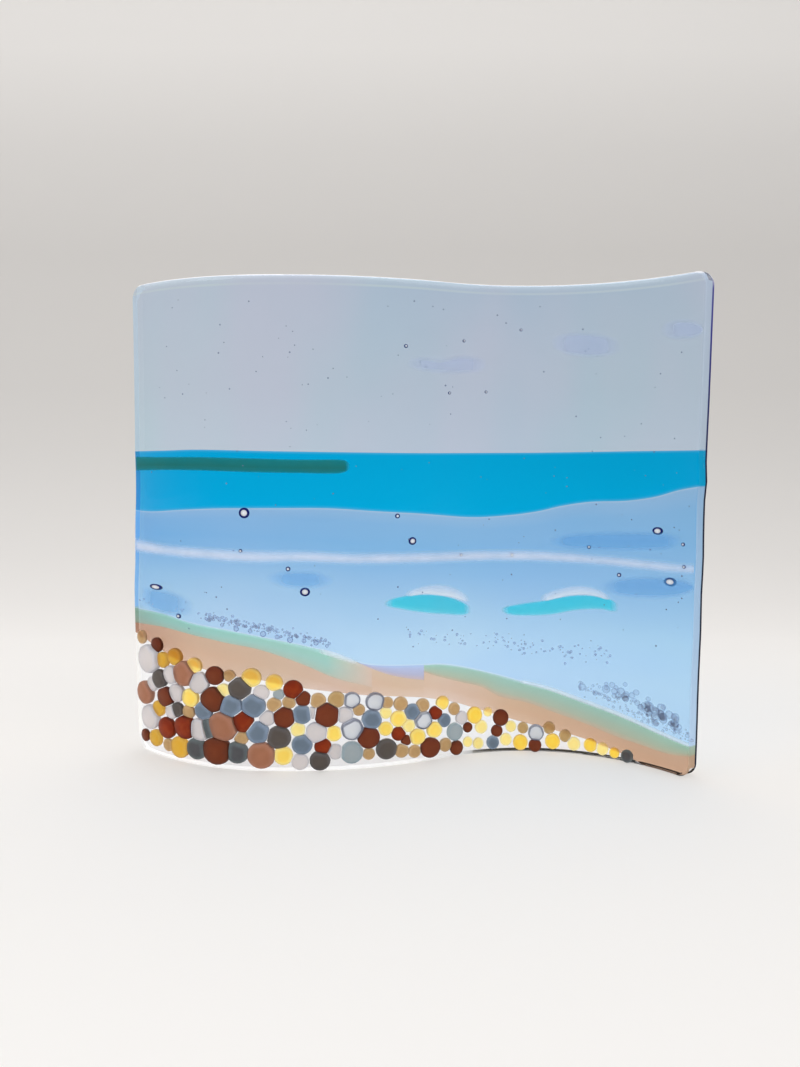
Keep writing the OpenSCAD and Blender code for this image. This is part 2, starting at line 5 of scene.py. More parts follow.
import bpy
import numpy as np
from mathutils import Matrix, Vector


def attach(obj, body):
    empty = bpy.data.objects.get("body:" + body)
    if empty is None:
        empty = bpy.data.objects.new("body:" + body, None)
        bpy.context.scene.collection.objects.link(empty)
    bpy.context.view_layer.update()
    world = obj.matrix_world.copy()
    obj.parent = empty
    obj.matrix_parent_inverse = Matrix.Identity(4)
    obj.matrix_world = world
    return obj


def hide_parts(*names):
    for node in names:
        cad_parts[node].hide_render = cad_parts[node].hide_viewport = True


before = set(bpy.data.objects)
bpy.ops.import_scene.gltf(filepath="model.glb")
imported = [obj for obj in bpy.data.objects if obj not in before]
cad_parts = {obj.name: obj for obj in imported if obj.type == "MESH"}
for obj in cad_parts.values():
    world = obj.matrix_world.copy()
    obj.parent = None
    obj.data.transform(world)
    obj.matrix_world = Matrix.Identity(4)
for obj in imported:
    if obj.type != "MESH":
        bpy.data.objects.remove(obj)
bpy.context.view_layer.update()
print("frame loaded")

# The photograph's camera: pixels on an 800 x 1067 picture, metres and degrees
shot = {"place": (-0.00266, -0.36968, 0.13786), "pitch": 5.692, "focal": 860.0, "centre": (400.0, 533.5),
        "lens": 29.02, "sensor": 36.0}

bpy.ops.object.camera_add(location=shot["place"], rotation=(math.radians(90 - shot["pitch"]), 0, 0))
camera = bpy.context.object
camera.data.lens = shot["lens"]
camera.data.sensor_width = shot["sensor"]
camera.data.sensor_fit = "AUTO"
camera.data.clip_start = 0.01
bpy.context.scene.camera = camera
bpy.ops.object.select_all(action="DESELECT")
print("camera placed")

# ---- the wave that the panel is slumped into
wave = {"height": 0.208, "back": 0.0015, "layer": 0.0015, "front": 0.0045, "corner": 0.006,
        "near": (0.086, 47.0), "easy": (0.145, 31.0), "far": (0.083, 83.0), "startTurn": 51.0,
        "lean": 0.0075, "wander": 0.0008, "steps": 90}


def arcLength(bend):
    return bend[0] * math.radians(bend[1])


nearLength, easyLength, farLength = (arcLength(wave[n]) for n in ("near", "easy", "far"))
panelLength = nearLength + easyLength + farLength
headingNear = wave["near"][1] - wave["startTurn"]
headingEasy = headingNear + wave["easy"][1]


def toward(heading):
    a = math.radians(heading)
    return Vector((math.sin(a), -math.cos(a)))


def headingAt(s):
    if s < nearLength:
        return wave["near"][1] * s / nearLength - wave["startTurn"]
    if s < nearLength + easyLength:
        return headingNear + wave["easy"][1] * (s - nearLength) / easyLength
    return headingEasy - wave["far"][1] * (s - nearLength - easyLength) / farLength


nearCentre = -wave["near"][0] * toward(-wave["startTurn"])
easyCentre = nearCentre + (wave["near"][0] - wave["easy"][0]) * toward(headingNear)
farCentre = easyCentre + (wave["easy"][0] + wave["far"][0]) * toward(headingEasy)


def rawPoint(s):
    if s < nearLength:
        return nearCentre + wave["near"][0] * toward(headingAt(s))
    if s < nearLength + easyLength:
        return easyCentre + wave["easy"][0] * toward(headingAt(s))
    return farCentre - wave["far"][0] * toward(headingAt(s))


rawPath = [rawPoint(panelLength * i / wave["steps"]) for i in range(wave["steps"] + 1)]
middleX = rawPath[-1].x / 2
middle = Vector((middleX, float(np.interp(middleX, [p.x for p in rawPath], [p.y for p in rawPath]))))


def wavePoint(s, off):
    return rawPoint(s) - middle + off * toward(headingAt(s))


# Where the line of sight through a pixel meets the front face: distance along the panel, and height
def spotAt(col, row, off=wave["front"]):
    a = math.radians(shot["pitch"])
    right = (col - shot["centre"][0]) / shot["focal"]
    up = (shot["centre"][1] - row) / shot["focal"]
    ray = Vector((right, math.cos(a) + up * math.sin(a), up * math.cos(a) - math.sin(a)))
    eye = Vector(shot["place"])
    low, high = -0.02, panelLength + 0.02
    for _ in range(40):
        s = (low + high) / 2
        p = wavePoint(s, off)
        if (p.x - eye.x) * ray.y - (p.y - eye.y) * ray.x < 0:
            low = s
        else:
            high = s
    return s, eye.z + (p.y - eye.y) / ray.y * ray.z


def smoothLine(points, steps=6):
    done = []
    for i in range(len(points) - 1):
        a, b = points[max(i - 1, 0)], points[i]
        c, d = points[i + 1], points[min(i + 2, len(points) - 1)]
        for k in range(steps):
            t = k / steps
            done.append([0.5 * (2 * b[n] + (c[n] - a[n]) * t + (2 * a[n] - 5 * b[n] + 4 * c[n] - d[n]) * t * t
                                + (3 * b[n] - a[n] - 3 * c[n] + d[n]) * t ** 3) for n in (0, 1)])
    done.append(list(points[-1]))
    return done


def follow(points):
    along, values = zip(*points)
    return lambda at: float(np.interp(at, along, values))


# A seam read from the photograph in pixels, as height over distance along the panel
def seam(pixels):
    return follow(smoothLine([spotAt(*p) for p in pixels]))


# How far each end of the panel falls back, from the foot (0) to the rim (1)
leftFall = follow(smoothLine([
    (0, .19), (.12, .08), (.22, .05), (.3, .07), (.36, .12), (.42, .34), (.5, .49), (.56, .68), (.62, .75), (.66, .74),
    (.72, .82), (.82, .9), (.92, .97), (1, 1)]))
rightFall = follow(smoothLine([
    (0, .9), (.1, .8), (.2, .9), (.3, .6), (.37, .9), (.44, .5), (.5, .9), (.56, 1), (.6, .2), (.64, .9), (.75, .5),
    (.88, .3), (1, .1)]))


def leftEnd(z):
    return wave["lean"] * leftFall(z / wave["height"])


def rightEnd(z):
    return panelLength - wave["wander"] * rightFall(z / wave["height"])


def cornerDrop(s, z):
    near = min(s - leftEnd(z), rightEnd(z) - s, wave["corner"])
    gap = wave["corner"] - max(near, 0)
    return wave["corner"] - math.sqrt(max(wave["corner"] ** 2 - gap * gap, 0))


def rimLine(s):
    return wave["height"] - cornerDrop(s, wave["height"])


def footLine(s):
    return cornerDrop(s, 0)


# How far a point of the face lies from the panel's outer edge, and how near it is to a side
def edgeGap(s, z):
    side = min(s - leftEnd(z), rightEnd(z) - s)
    end = min(z, wave["height"] - z)
    r = wave["corner"]
    if side < r and end < r:
        return r - math.hypot(r - side, r - end), side
    return min(side, end), side


# ---- mesh helpers
def setActive(piece):
    bpy.ops.object.select_all(action="DESELECT")
    piece.select_set(True)
    bpy.context.view_layer.objects.active = piece


def applyModifier(piece, kind, **values):
    setActive(piece)
    bpy.ops.object.modifier_add(type=kind)
    modifier = piece.modifiers[-1]
    for name, value in values.items():
        setattr(modifier, name, value)
    bpy.ops.object.modifier_apply(modifier=modifier.name)


def storeShare(piece, name, values):
    layer = piece.data.attributes.get(name) or piece.data.attributes.new(name, "FLOAT", "POINT")
    layer.data.foreach_set("value", np.array(values, np.float32))


# A grid of columns and rows, one step apiece, thickened by one step
def gridBlock(name, columns, rows):
    bpy.ops.mesh.primitive_grid_add(x_subdivisions=columns - 1, y_subdivisions=rows - 1, size=1)
    piece = bpy.context.object
    piece.name = name
    piece.data.name = name
    for v in piece.data.vertices:
        v.co = ((v.co.x + 0.5) * (columns - 1), (v.co.y + 0.5) * (rows - 1), 0)
    applyModifier(piece, "SOLIDIFY", thickness=1.0, offset=1.0)
    return piece


endMarks = [m * 0.001 for m in (0, .06, .22, .48, .82, 1.2, 1.65, 2.15, 2.7, 3.4, 4.3, 5.2, 6.1)]
rowMarks = [m * 0.001 for m in (0, .07, .2, .4, .7, 1.05, 1.5, 2.0, 2.6, 3.3)]
edgeRound = {"rim": 0.0022, "side": 0.0014, "foot": 0.001, "seamDepth": 0.00005, "seamWidth": 0.0004,
             "sideEdge": 0.0006, "footEdge": 0.0004, "outer": 0.0003, "leanReach": 0.03, "overlap": 0.00002}
gridRule = {"measuredAt": 0.02, "clearOf": 0.0004, "samples": 40, "rounds": 3, "endShare": 0.3}


# Shares of a length where the columns stand: close together at an end that is rounded, a step apart elsewhere
def spread(length, step, startFine, endFine):
    fine = [m for m in endMarks if m < length / 2]
    marks = fine if startFine else [0]
    last = [length - m for m in reversed(fine)] if endFine else [length]
    count = max(int((last[0] - marks[-1]) / step), 1)
    inner = [marks[-1] + (last[0] - marks[-1]) * i / count for i in range(1, count)]
    return [m / length for m in marks + inner + last]


# How far the face falls back where the outer edge is rounded: more at the rim than at the sides and the foot
def faceInset(s, z):
    gap, side = edgeGap(s, z)
    end = min(z, wave["height"] - z)
    turn = math.atan2(max(wave["corner"] - end, 0), max(wave["corner"] - side, 1e-6)) / math.radians(90)
    radius = edgeRound["side"] + (edgeRound["foot" if z < wave["height"] / 2 else "rim"] - edgeRound["side"]) * turn
    if gap >= radius:
        return 0
    return radius - math.sqrt(max(radius ** 2 - (radius - max(gap, 0)) ** 2, 0))


# A sheet between two seams, from one distance along the panel to another, modelled flat and then slumped
def sheet(name, low, high, start=None, stop=None, backLayer=False, step=0.0022, rowStep=0.004, flatLow=False,
          flatHigh=False, extra=()):
    begin, finish = start or leftEnd, stop or rightEnd
    first, last = begin(gridRule["measuredAt"]), finish(gridRule["measuredAt"])
    marks = [first + m * (last - first) for m in spread(last - first, step, start is None, stop is None)]
    marks = sorted([m for m in marks if all(abs(m - e) > gridRule["clearOf"] for e in extra)] + list(extra))
    tall = max(high(s) - low(s) for s in np.linspace(first, last, gridRule["samples"]))
    inner = max(int((tall - 2 * rowMarks[-1]) / rowStep), 2)
    columns, rows = len(marks), 2 * len(rowMarks) + inner - 1

    def columnAt(mark, z):
        reach = edgeRound["leanReach"]
        return (mark + (begin(z) - first) * max(0, 1 - (mark - first) / reach)
                + (finish(z) - last) * max(0, 1 - (last - mark) / reach))

    def rowHeight(j, bottom, top):
        room = top - bottom
        reach = min(rowMarks[-1], room * gridRule["endShare"])
        fit = reach / rowMarks[-1]
        if j < len(rowMarks):
            return bottom + rowMarks[j] * fit
        if j >= rows - len(rowMarks):
            return top - rowMarks[rows - 1 - j] * fit
        return bottom + reach + (room - 2 * reach) * (j - len(rowMarks) + 1) / inner

    spots = {}
    for i, mark in enumerate(marks):
        for j in range(rows):
            z = (low(mark) + high(mark)) / 2
            for _ in range(gridRule["rounds"]):
                s = columnAt(mark, z)
                z = rowHeight(j, low(s), max(high(s), low(s) + 1e-5))
            spots[i, j] = (s, z, low(s), high(s))

    piece = gridBlock(name, columns, rows)
    rise, seamShare, deep, hidden, gaps = [], [], [], [], []
    for v in piece.data.vertices:
        i, j, k = (round(c) for c in v.co)
        s, z, bottom, top = spots[i, j]
        gap, side = edgeGap(s, z)
        inset = faceInset(s, z)
        toSeam = min(9 if flatLow else z - bottom, 9 if flatHigh else top - z)
        seamed = 0 if backLayer else math.exp(-(toSeam / edgeRound["seamWidth"]) ** 2)
        if k == 1 and not backLayer:
            off = wave["front"] - max(inset, edgeRound["seamDepth"] * seamed)
        elif k == 0 and backLayer:
            off = inset - wave["back"]
        elif backLayer:
            off = wave["layer"] + edgeRound["overlap"]
        else:
            off = wave["layer"]
        hidden.append((k == 1) == backLayer)
        gaps.append((side, z, gap))
        p = wavePoint(s, off)
        v.co = (p.x, p.y, z)
        rise.append((z - bottom) / max(top - bottom, 1e-6))
        seamShare.append(seamed)
        deep.append(0.5 if hidden[-1] else 1.0 if backLayer else 0.0)
    for share, values in (("deep", deep), ("rise", rise), ("seamShare", seamShare)):
        storeShare(piece, share, values)

    # Faces that meet other glass let light straight on; the ends and the foot show the sheet's edge, in the edge paint
    # with its painted shade, highlight and glow
    outer = edgeRound["outer"]
    for face in piece.data.polygons:
        corners = list(face.vertices)
        side, up, gap = (sum(gaps[c][n] for c in corners) / len(corners) for n in range(3))
        within = [hidden[c] for c in corners]
        nearSide = side < wave["corner"]
        rimCorner = backLayer and nearSide and gap < edgeRound["rim"] and up > wave["height"] - wave["corner"]
        if all(within) or (any(within) and side > outer and outer < up < wave["height"] - outer):
            face.material_index = 1
        elif rimCorner or gap < edgeRound["sideEdge" if nearSide else "footEdge"]:
            face.material_index = 2
    return piece


def finishPiece(piece, slot, materials, *nodes, smooth=35):
    for material in materials:
        piece.data.materials.append(material)
    setActive(piece)
    bpy.ops.object.shade_smooth_by_angle(angle=math.radians(smooth))
    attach(piece, "root")
    if nodes:
        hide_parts(*nodes)


# ---- colours and shader helpers
skyGround, farGround, midGround, lowGround = (208, 205, 202), (226, 223, 220), (224, 221, 219), (243, 240, 237)


def linear(value):
    v = value / 255
    return v / 12.92 if v <= 0.04045 else ((v + 0.055) / 1.055) ** 2.4


def colour(*shown):
    return tuple(linear(c) for c in shown)


# What a sheet has to let through so that the pale ground behind it shows as a colour
def filterColour(shown, ground=midGround):
    return tuple(min((linear(a) / linear(b) / 0.97) ** 2, 1) for a, b in zip(shown, ground))


class Tree:
    def __init__(self, name, grouped=False):
        if grouped:
            self.tree = bpy.data.node_groups.new(name, "ShaderNodeTree")
            return
        self.material = bpy.data.materials.new(name)
        self.material.use_nodes = True
        self.tree = self.material.node_tree
        self.tree.nodes.clear()

    # Another node's output is linked, and a constant is set on the socket
    def feed(self, socket, value):
        if hasattr(value, "links"):
            self.tree.links.new(value, socket)
        else:
            socket.default_value = (*value[:3], 1) if socket.type == "RGBA" else value

    def feedAll(self, node, *values):
        for socket, value in zip(node.inputs, values):
            self.feed(socket, value)
        return node.outputs[0]

    def add(self, kind, **values):
        node = self.tree.nodes.new(kind)
        for name, value in values.items():
            if hasattr(node, name):
                setattr(node, name, value)
            else:
                self.feed(node.inputs[name.replace("_", " ")], value)
        return node

    def share(self, name):
        return self.add("ShaderNodeAttribute", attribute_name=name).outputs["Fac"]

    def place(self):
        return self.add("ShaderNodeTexCoord").outputs["Object"]

    def axis(self, name):
        return self.add("ShaderNodeSeparateXYZ", Vector=self.place()).outputs[name]

    def noise(self, scale, detail=2.0, place=None):
        place = self.place() if place is None else place
        return self.add("ShaderNodeTexNoise", Vector=place, Scale=scale, Detail=detail).outputs["Fac"]

    def between(self, value, low, high, first=0.0, last=1.0):
        return self.add("ShaderNodeMapRange", Value=value, From_Min=low, From_Max=high, To_Min=first,
                        To_Max=last).outputs["Result"]

    def ramp(self, source, stops, interpolation="LINEAR"):
        node = self.add("ShaderNodeValToRGB", Fac=source)
        node.color_ramp.interpolation = interpolation
        elements = node.color_ramp.elements
        while len(elements) < len(stops):
            elements.new(0.5)
        for element, (at, value) in zip(elements, stops):
            element.position = at
            element.color = (*value[:3], 1)
        return node.outputs["Color"]

    def mixColour(self, share, first, second, blend="MIX"):
        node = self.add("ShaderNodeMix", data_type="RGBA", blend_type=blend)
        for n, value in ((0, share), (6, first), (7, second)):
            self.feed(node.inputs[n], value)
        return node.outputs[2]

    def times(self, first, second):
        return self.mixColour(1.0, first, second, "MULTIPLY")

    def maths(self, operation, first, second):
        return self.feedAll(self.add("ShaderNodeMath", operation=operation), first, second)

    def mixShader(self, share, first, second):
        return self.feedAll(self.add("ShaderNodeMixShader"), share, first, second)

    # Rays from lamps go straight through, tinted
    def lampsThrough(self, shader, tint):
        clear = self.add("ShaderNodeBsdfTransparent", Color=tint)
        return self.mixShader(self.add("ShaderNodeLightPath").outputs["Is Shadow Ray"], shader, clear.outputs[0])

    def finish(self, surface):
        self.feed(self.add("ShaderNodeOutputMaterial").inputs["Surface"], surface)
        return self.material


# Glass that has melted and set again: slow swells in colour, and a surface that isn't quite flat
def makeFusedGroup():
    t = Tree("fusedGlass", grouped=True)
    new = t.tree.interface.new_socket
    for name, kind, value in (
            ("Tint", "Color", (1, 1, 1, 1)), ("Other", "Color", (1, 1, 1, 1)), ("Scale", "Float", 18.0),
            ("Amount", "Float", 0.5), ("Stretch", "Vector", (1.0, 1.0, 2.4))):
        new(name, in_out="INPUT", socket_type="NodeSocket" + kind).default_value = value
    new("Color", in_out="OUTPUT", socket_type="NodeSocketColor")
    new("Normal", in_out="OUTPUT", socket_type="NodeSocketVector")
    take = t.add("NodeGroupInput").outputs
    mapping = t.add("ShaderNodeMapping", Vector=t.place(), Scale=take["Stretch"])
    clouds = t.noise(take["Scale"], 2.0, mapping.outputs["Vector"])
    share = t.maths("MULTIPLY", t.between(clouds, 0.35, 0.65), take["Amount"])
    bump = t.add("ShaderNodeBump", Strength=0.12, Distance=0.0004, Height=t.noise(42.0, 1.0))
    t.add("NodeGroupOutput", Color=t.mixColour(share, take["Tint"], take["Other"]), Normal=bump.outputs["Normal"])
    return t.tree


fusedGlass = makeFusedGroup()


# Glass with a tint that may change over it
def glassMaterial(name, paint, other=None, amount=0.0, scale=18.0, seamTint=None, gloss=0.3, stretch=(1.0, 1.0, 2.4)):
    t = Tree(name)
    tint = paint(t)
    fused = t.add("ShaderNodeGroup", node_tree=fusedGlass, Tint=tint, Other=other(t) if other else tint, Scale=scale,
                  Amount=amount, Stretch=stretch).outputs
    tint = fused["Color"]
    if seamTint:
        tint = t.mixColour(t.maths("MULTIPLY", t.share("seamShare"), 0.2), tint, seamTint)
    glass = t.add("ShaderNodeBsdfPrincipled", Base_Color=tint, Normal=fused["Normal"], Roughness=0.01, IOR=1.5,
                  Transmission_Weight=1.0, Specular_Tint=(gloss, gloss, gloss))
    root = t.add("ShaderNodeGamma", Color=tint, Gamma=0.5)
    return t.finish(t.lampsThrough(glass.outputs[0], root.outputs[0]))


# Faces where glass meets glass let light straight on
def insideMaterial():
    t = Tree("insideGlass")
    return t.finish(t.add("ShaderNodeBsdfTransparent").outputs[0])


inside = insideMaterial()


def steady(shown, ground=midGround):
    def paint(t):
        node = t.add("ShaderNodeRGB")
        node.outputs[0].default_value = (*filterColour(shown, ground), 1)
        return node.outputs[0]
    return paint


painted = {"left": -0.12, "right": 0.12, "rimHighlightDepth": 0.008}


# Colours from the left end of the panel (0) to the right end (1)
def alongPanel(t, stops):
    return t.ramp(t.between(t.axis("X"), painted["left"], painted["right"]), stops)


# Colours from the foot of a sheet to its top, with factors along the panel and over the last bit under the rim
def banded(stops, sideways=None, rim=None):
    def paint(t):
        tones = [(at, filterColour(shown, *(ground or [lowGround]))) for at, shown, *ground in stops]
        tint = t.ramp(t.share("rise"), tones)
        if sideways:
            tint = t.times(tint, alongPanel(t, sideways))
        if rim:
            # painted highlight: brighter bands over the last bit under the rim
            up = t.between(t.axis("Z"), wave["height"] - painted["rimHighlightDepth"], wave["height"])
            tint = t.times(tint, t.ramp(up, rim))
        return tint
    return paint


def fading(paint, start, stop, shown):
    def mixed(t):
        share = alongPanel(t, [(start, (0, 0, 0)), (stop, (1, 1, 1))])
        return t.mixColour(share, paint(t), filterColour(shown, lowGround))
    return mixed


paleSeam = filterColour((214, 228, 236))
clearGlass = glassMaterial("clearGlass", steady((229, 229, 228)))
# the sky's last factors brighten the glass under the rim: a painted highlight
skyGlass = glassMaterial("skyGlass", banded(
    [(0, (177, 192, 208), (212, 208, 205)), (.5, (174, 189, 207), skyGround), (1, (172, 186, 204), skyGround)],
    [(0, (1.08, 1.1, 1)), (.2, (1.02, 1.06, 1)), (.3, (.98, 1.01, 1)), (.45, (.92, .96, .99)), (.7, (.84, .91, .97)),
     (.86, (.9, .94, .95)), (1, (.93, .94, .95))],
    [(.42, (1, 1, 1)), (.48, (1.28, 1.22, 1.1)), (.53, (1.3, 1.24, 1.12)), (.58, (1.1, 1.08, 1.03)),
     (.8, (1.16, 1.12, 1.04)), (1, (1.25, 1.18, 1.08))]),
    steady((184, 186, 210), skyGround), 0.7, 16.0, seamTint=paleSeam, stretch=(1.0, 1.0, 0.45))
stripGlass = glassMaterial("stripGlass", banded(
    [(0, (0, 164, 218), (220, 216, 213)), (1, (0, 160, 217), (216, 212, 209))],
    [(0, (1, .88, .98)), (.3, (1, .96, 1)), (.5, (1, .97, .99)), (.8, (1, .88, .9)), (1, (1, .8, .84))]),
    steady((0, 160, 215), (216, 212, 209)), 0.4, 10.0, seamTint=filterColour((120, 200, 226)), gloss=0.1)
seaGlass = glassMaterial("seaGlass", banded(
    [(0, (179, 209, 239), (240, 237, 235)), (.18, (172, 204, 237), (236, 233, 230)),
     (.4, (157, 194, 231), (230, 227, 224)), (.62, (134, 180, 223), farGround), (.78, (121, 173, 219), (223, 219, 216)),
     (.92, (124, 172, 215), (220, 216, 213)), (1, (138, 176, 211), (218, 214, 211))],
    [(0, (.6, .82, .94)), (.05, (.7, .86, .96)), (.18, (.97, .96, 1)), (.4, (1, 1, 1)), (.6, (1.06, 1.03, 1.02)),
     (.8, (.96, .97, .98)), (1, (1, .98, .93))]),
    steady((140, 178, 224)), 0.3, 12.0, seamTint=paleSeam)
sageLeftGlass = glassMaterial("sageLeftGlass", fading(banded(
    [(0, (182, 186, 168)), (.14, (166, 192, 178)), (.45, (158, 197, 187)), (.8, (152, 200, 186)), (1, (174, 214, 214))],
    [(0, (.6, .62, .6)), (.06, (.7, .85, .86)), (.16, (.86, .98, 1)), (.3, (1, 1, 1))]), 0.36, 0.438, (211, 186, 167)),
    steady((168, 192, 182), lowGround), 0.08, 30.0)
sageRightGlass = glassMaterial("sageRightGlass", banded(
    [(0, (200, 176, 150)), (.25, (176, 186, 164)), (.6, (163, 192, 174)), (.88, (156, 198, 182)), (1, (186, 218, 225))],
    [(.5, (1, 1, 1)), (.7, (.9, .86, .88)), (.88, (.84, .74, .7)), (1, (.78, .72, .62))]),
    steady((164, 184, 162), lowGround), 0.3, 30.0)
washGlass = glassMaterial("washGlass", banded(
    [(0, (200, 180, 174)), (.3, (178, 178, 199)), (.7, (176, 186, 216)), (1, (172, 199, 232))]),
    steady((184, 184, 205), lowGround), 0.3, 30.0)
sandGlass = glassMaterial("sandGlass", banded(
    [(0, (214, 184, 166)), (.5, (207, 174, 151)), (1, (202, 174, 152))],
    [(0, (.62, .42, .36)), (.12, (.95, .92, .82)), (.26, (.91, 1.1, 1.06)), (.38, (1.07, 1.2, 1.33)),
     (.48, (1.16, 1.37, 1.28)), (.58, (1.2, 1.4, 1.52)), (.69, (1.02, .95, .75)), (.8, (.9, .8, .58)),
     (.91, (.82, .68, .51)), (1, (.71, .6, .44))]),
    steady((206, 168, 142), lowGround), 0.35, 26.0)
print("glass mixed")

# ---- sheets
seams = {
    "stripTop": [(104, 451.5), (128, 451.5), (165, 450.5), (200, 449.6), (265, 451), (330, 452), (420, 453),
        (500, 452.8), (550, 452.5), (630, 451.2), (710, 450), (730, 449.5)],
    "stripFoot": [(104, 506), (128, 508.5), (150, 511.5), (180, 510), (220, 508.5), (280, 508.3), (330, 508.5),
        (375, 511.3), (420, 513.7), (470, 517.3), (510, 515.2), (540, 511), (560, 506.3), (590, 502), (625, 501),
        (655, 497), (680, 490), (710, 485), (730, 482)],
    "shore": [(104, 597), (128, 605), (160, 613), (190, 623), (225, 630), (260, 637), (300, 645), (330, 652.5),
        (356, 662), (380, 665.5), (424, 665), (440, 664.3), (461, 666.7), (498, 675), (528, 683.5), (556, 691),
        (584, 701.7), (612, 711.6), (640, 724), (668, 737.5), (695, 748.5), (730, 760)],
    "sageLeft": [(104, 616), (128, 620.5), (160, 626.5), (200, 637), (228, 643.5), (260, 650), (300, 663.5),
        (335, 678), (363, 685), (378, 688)],
    "wash": [(350, 660), (357, 662), (371, 668.5), (390, 675), (408, 678.5), (424, 680), (440, 681)],
    "sageRight": [(410, 669), (424, 672), (440, 677), (461, 682), (482, 687), (500, 696.5), (528, 703),
        (556, 713), (584, 723), (612, 735), (640, 744.5), (668, 754), (695, 757.5), (730, 761)],
    "sandFoot": [(104, 610), (128, 626), (142, 636), (155, 646), (167, 653), (180, 660), (200, 668), (230, 675.5),
        (260, 680), (295, 687), (330, 691.5), (363, 695), (400, 696.5), (426, 697.8), (454, 702), (475, 708),
        (500, 715.5), (528, 723.5), (556, 730.5), (584, 738.5), (612, 749.5), (633, 759), (647, 769), (660, 780),
        (674, 791), (730, 830)],
}
line = {name: seam(pixels) for name, pixels in seams.items()}
sageStop, washStart, washStop = spotAt(372, 680)[0], spotAt(357, 662)[0], spotAt(424, 672)[0]


def sandTop(s):
    return line["sageLeft"](s) if s < sageStop else line["wash"](s) if s < washStop else line["sageRight"](s)


def shallowTop(s):
    return line["shore"](s) if s < washStart else line["wash"](s)


def sandLow(s):
    return max(line["sandFoot"](s), footLine(s))


# Where the sand's lower seam runs into the foot
def foreshoreEnd():
    low, high = panelLength * 0.6, panelLength
    for _ in range(30):
        s = (low + high) / 2
        low, high = (s, high) if line["sandFoot"](s) > 0.00005 else (low, s)
    return s


endOfForeshore = foreshoreEnd()


# The sheets' own edges: colours of each band from its foot to its top; a dark line behind the right end, painted shade
# in the clear back sheet's edge that turns near-white at the rim as a painted highlight; and the foot, pale on the left
# and painted dark as shade under the right part
edgeTones = {
    "right": [((226, 200, 180), (205, 170, 146)), ((208, 172, 146), (194, 166, 140)),
              ((172, 184, 158), (172, 198, 186)), ((194, 220, 248), (146, 184, 219)),
              ((0, 157, 206), (0, 155, 204)), ((180, 196, 212), (180, 195, 215))],
    "left": [((236, 236, 232), (232, 230, 226)), ((188, 160, 136), (180, 152, 128)),
             ((188, 184, 170), (172, 186, 172)), ((166, 194, 216), (166, 202, 220)),
             ((0, 172, 196), (4, 168, 178)), ((192, 194, 196), (190, 192, 192))],
    "dark": [(0, (34, 38, 58)), (.6, (30, 34, 58)), (.75, (44, 48, 104)), (.9, (60, 60, 140)), (.965, (84, 84, 150)),
             (.978, (160, 162, 196)), (.988, (232, 232, 240))],
    "foot": [(0, 234), (.5, 232), (.6, 200), (.66, 84), (1, 66)],
    "leftUpTo": -0.05, "footUpTo": 0.0012, "glowUpTo": 0.03,
}


def endBands(s, tones):
    names = ("sandFoot", "sageRight" if s > 0.1 else "sageLeft", "shore", "stripFoot", "stripTop")
    bottom, stops = 0, []
    for top, (low, high) in zip([line[name](s) / wave["height"] for name in names] + [1], tones):
        if top > bottom + 0.002:
            stops += [(bottom + 0.001, colour(*low)), (top, colour(*high))]
        bottom = max(top, bottom)
    # the top of each end is painted near-white: a painted highlight along the rim
    return stops[:-1] + [(0.992, stops[-1][1]), (0.997, colour(240, 240, 244))]


def edgeMaterial():
    t = Tree("sheetEdge")
    across, height = t.axis("X"), t.axis("Z")
    up = t.between(height, 0.0, wave["height"])
    right = t.ramp(up, endBands(rightEnd(0.1), edgeTones["right"]))
    left = t.ramp(up, endBands(leftEnd(0.1), edgeTones["left"]))
    # painted shade: the clear back sheet's edge behind the right end is dark navy, turning near-white at the rim as a
    # painted highlight
    dark = t.ramp(up, [(at, colour(*tone)) for at, tone in edgeTones["dark"]])
    # the foot is pale on the left and painted dark as shade under the right part
    foot = alongPanel(t, [(at, colour(tone, tone, tone)) for at, tone in edgeTones["foot"]])
    behind = t.ramp(t.share("deep"), [(.74, (0, 0, 0)), (.82, (1, 1, 1))])
    atLeft = t.maths("LESS_THAN", across, edgeTones["leftUpTo"])
    atFoot = t.maths("LESS_THAN", height, edgeTones["footUpTo"])
    tone = t.mixColour(atFoot, t.mixColour(atLeft, t.mixColour(behind, right, dark), left), foot)
    tone = t.mixColour(t.maths("MULTIPLY", t.noise(160.0), 0.02), tone, (1, 1, 1))
    # painted light: the left end and the foot in front of it glow, an emission that stands in for light coming through
    # the glass, over a base darkened to 0.4
    glowingFoot = t.maths("MULTIPLY", atFoot, t.maths("LESS_THAN", across, edgeTones["glowUpTo"]))
    lit = t.maths("MAXIMUM", atLeft, glowingFoot)
    base = t.mixColour(lit, tone, t.times(tone, (0.4, 0.4, 0.4)))
    skin = t.add("ShaderNodeBsdfPrincipled", Base_Color=base, Emission_Color=tone, Emission_Strength=lit, Roughness=0.5,
                 Specular_IOR_Level=0.0)
    return t.finish(skin.outputs[0])


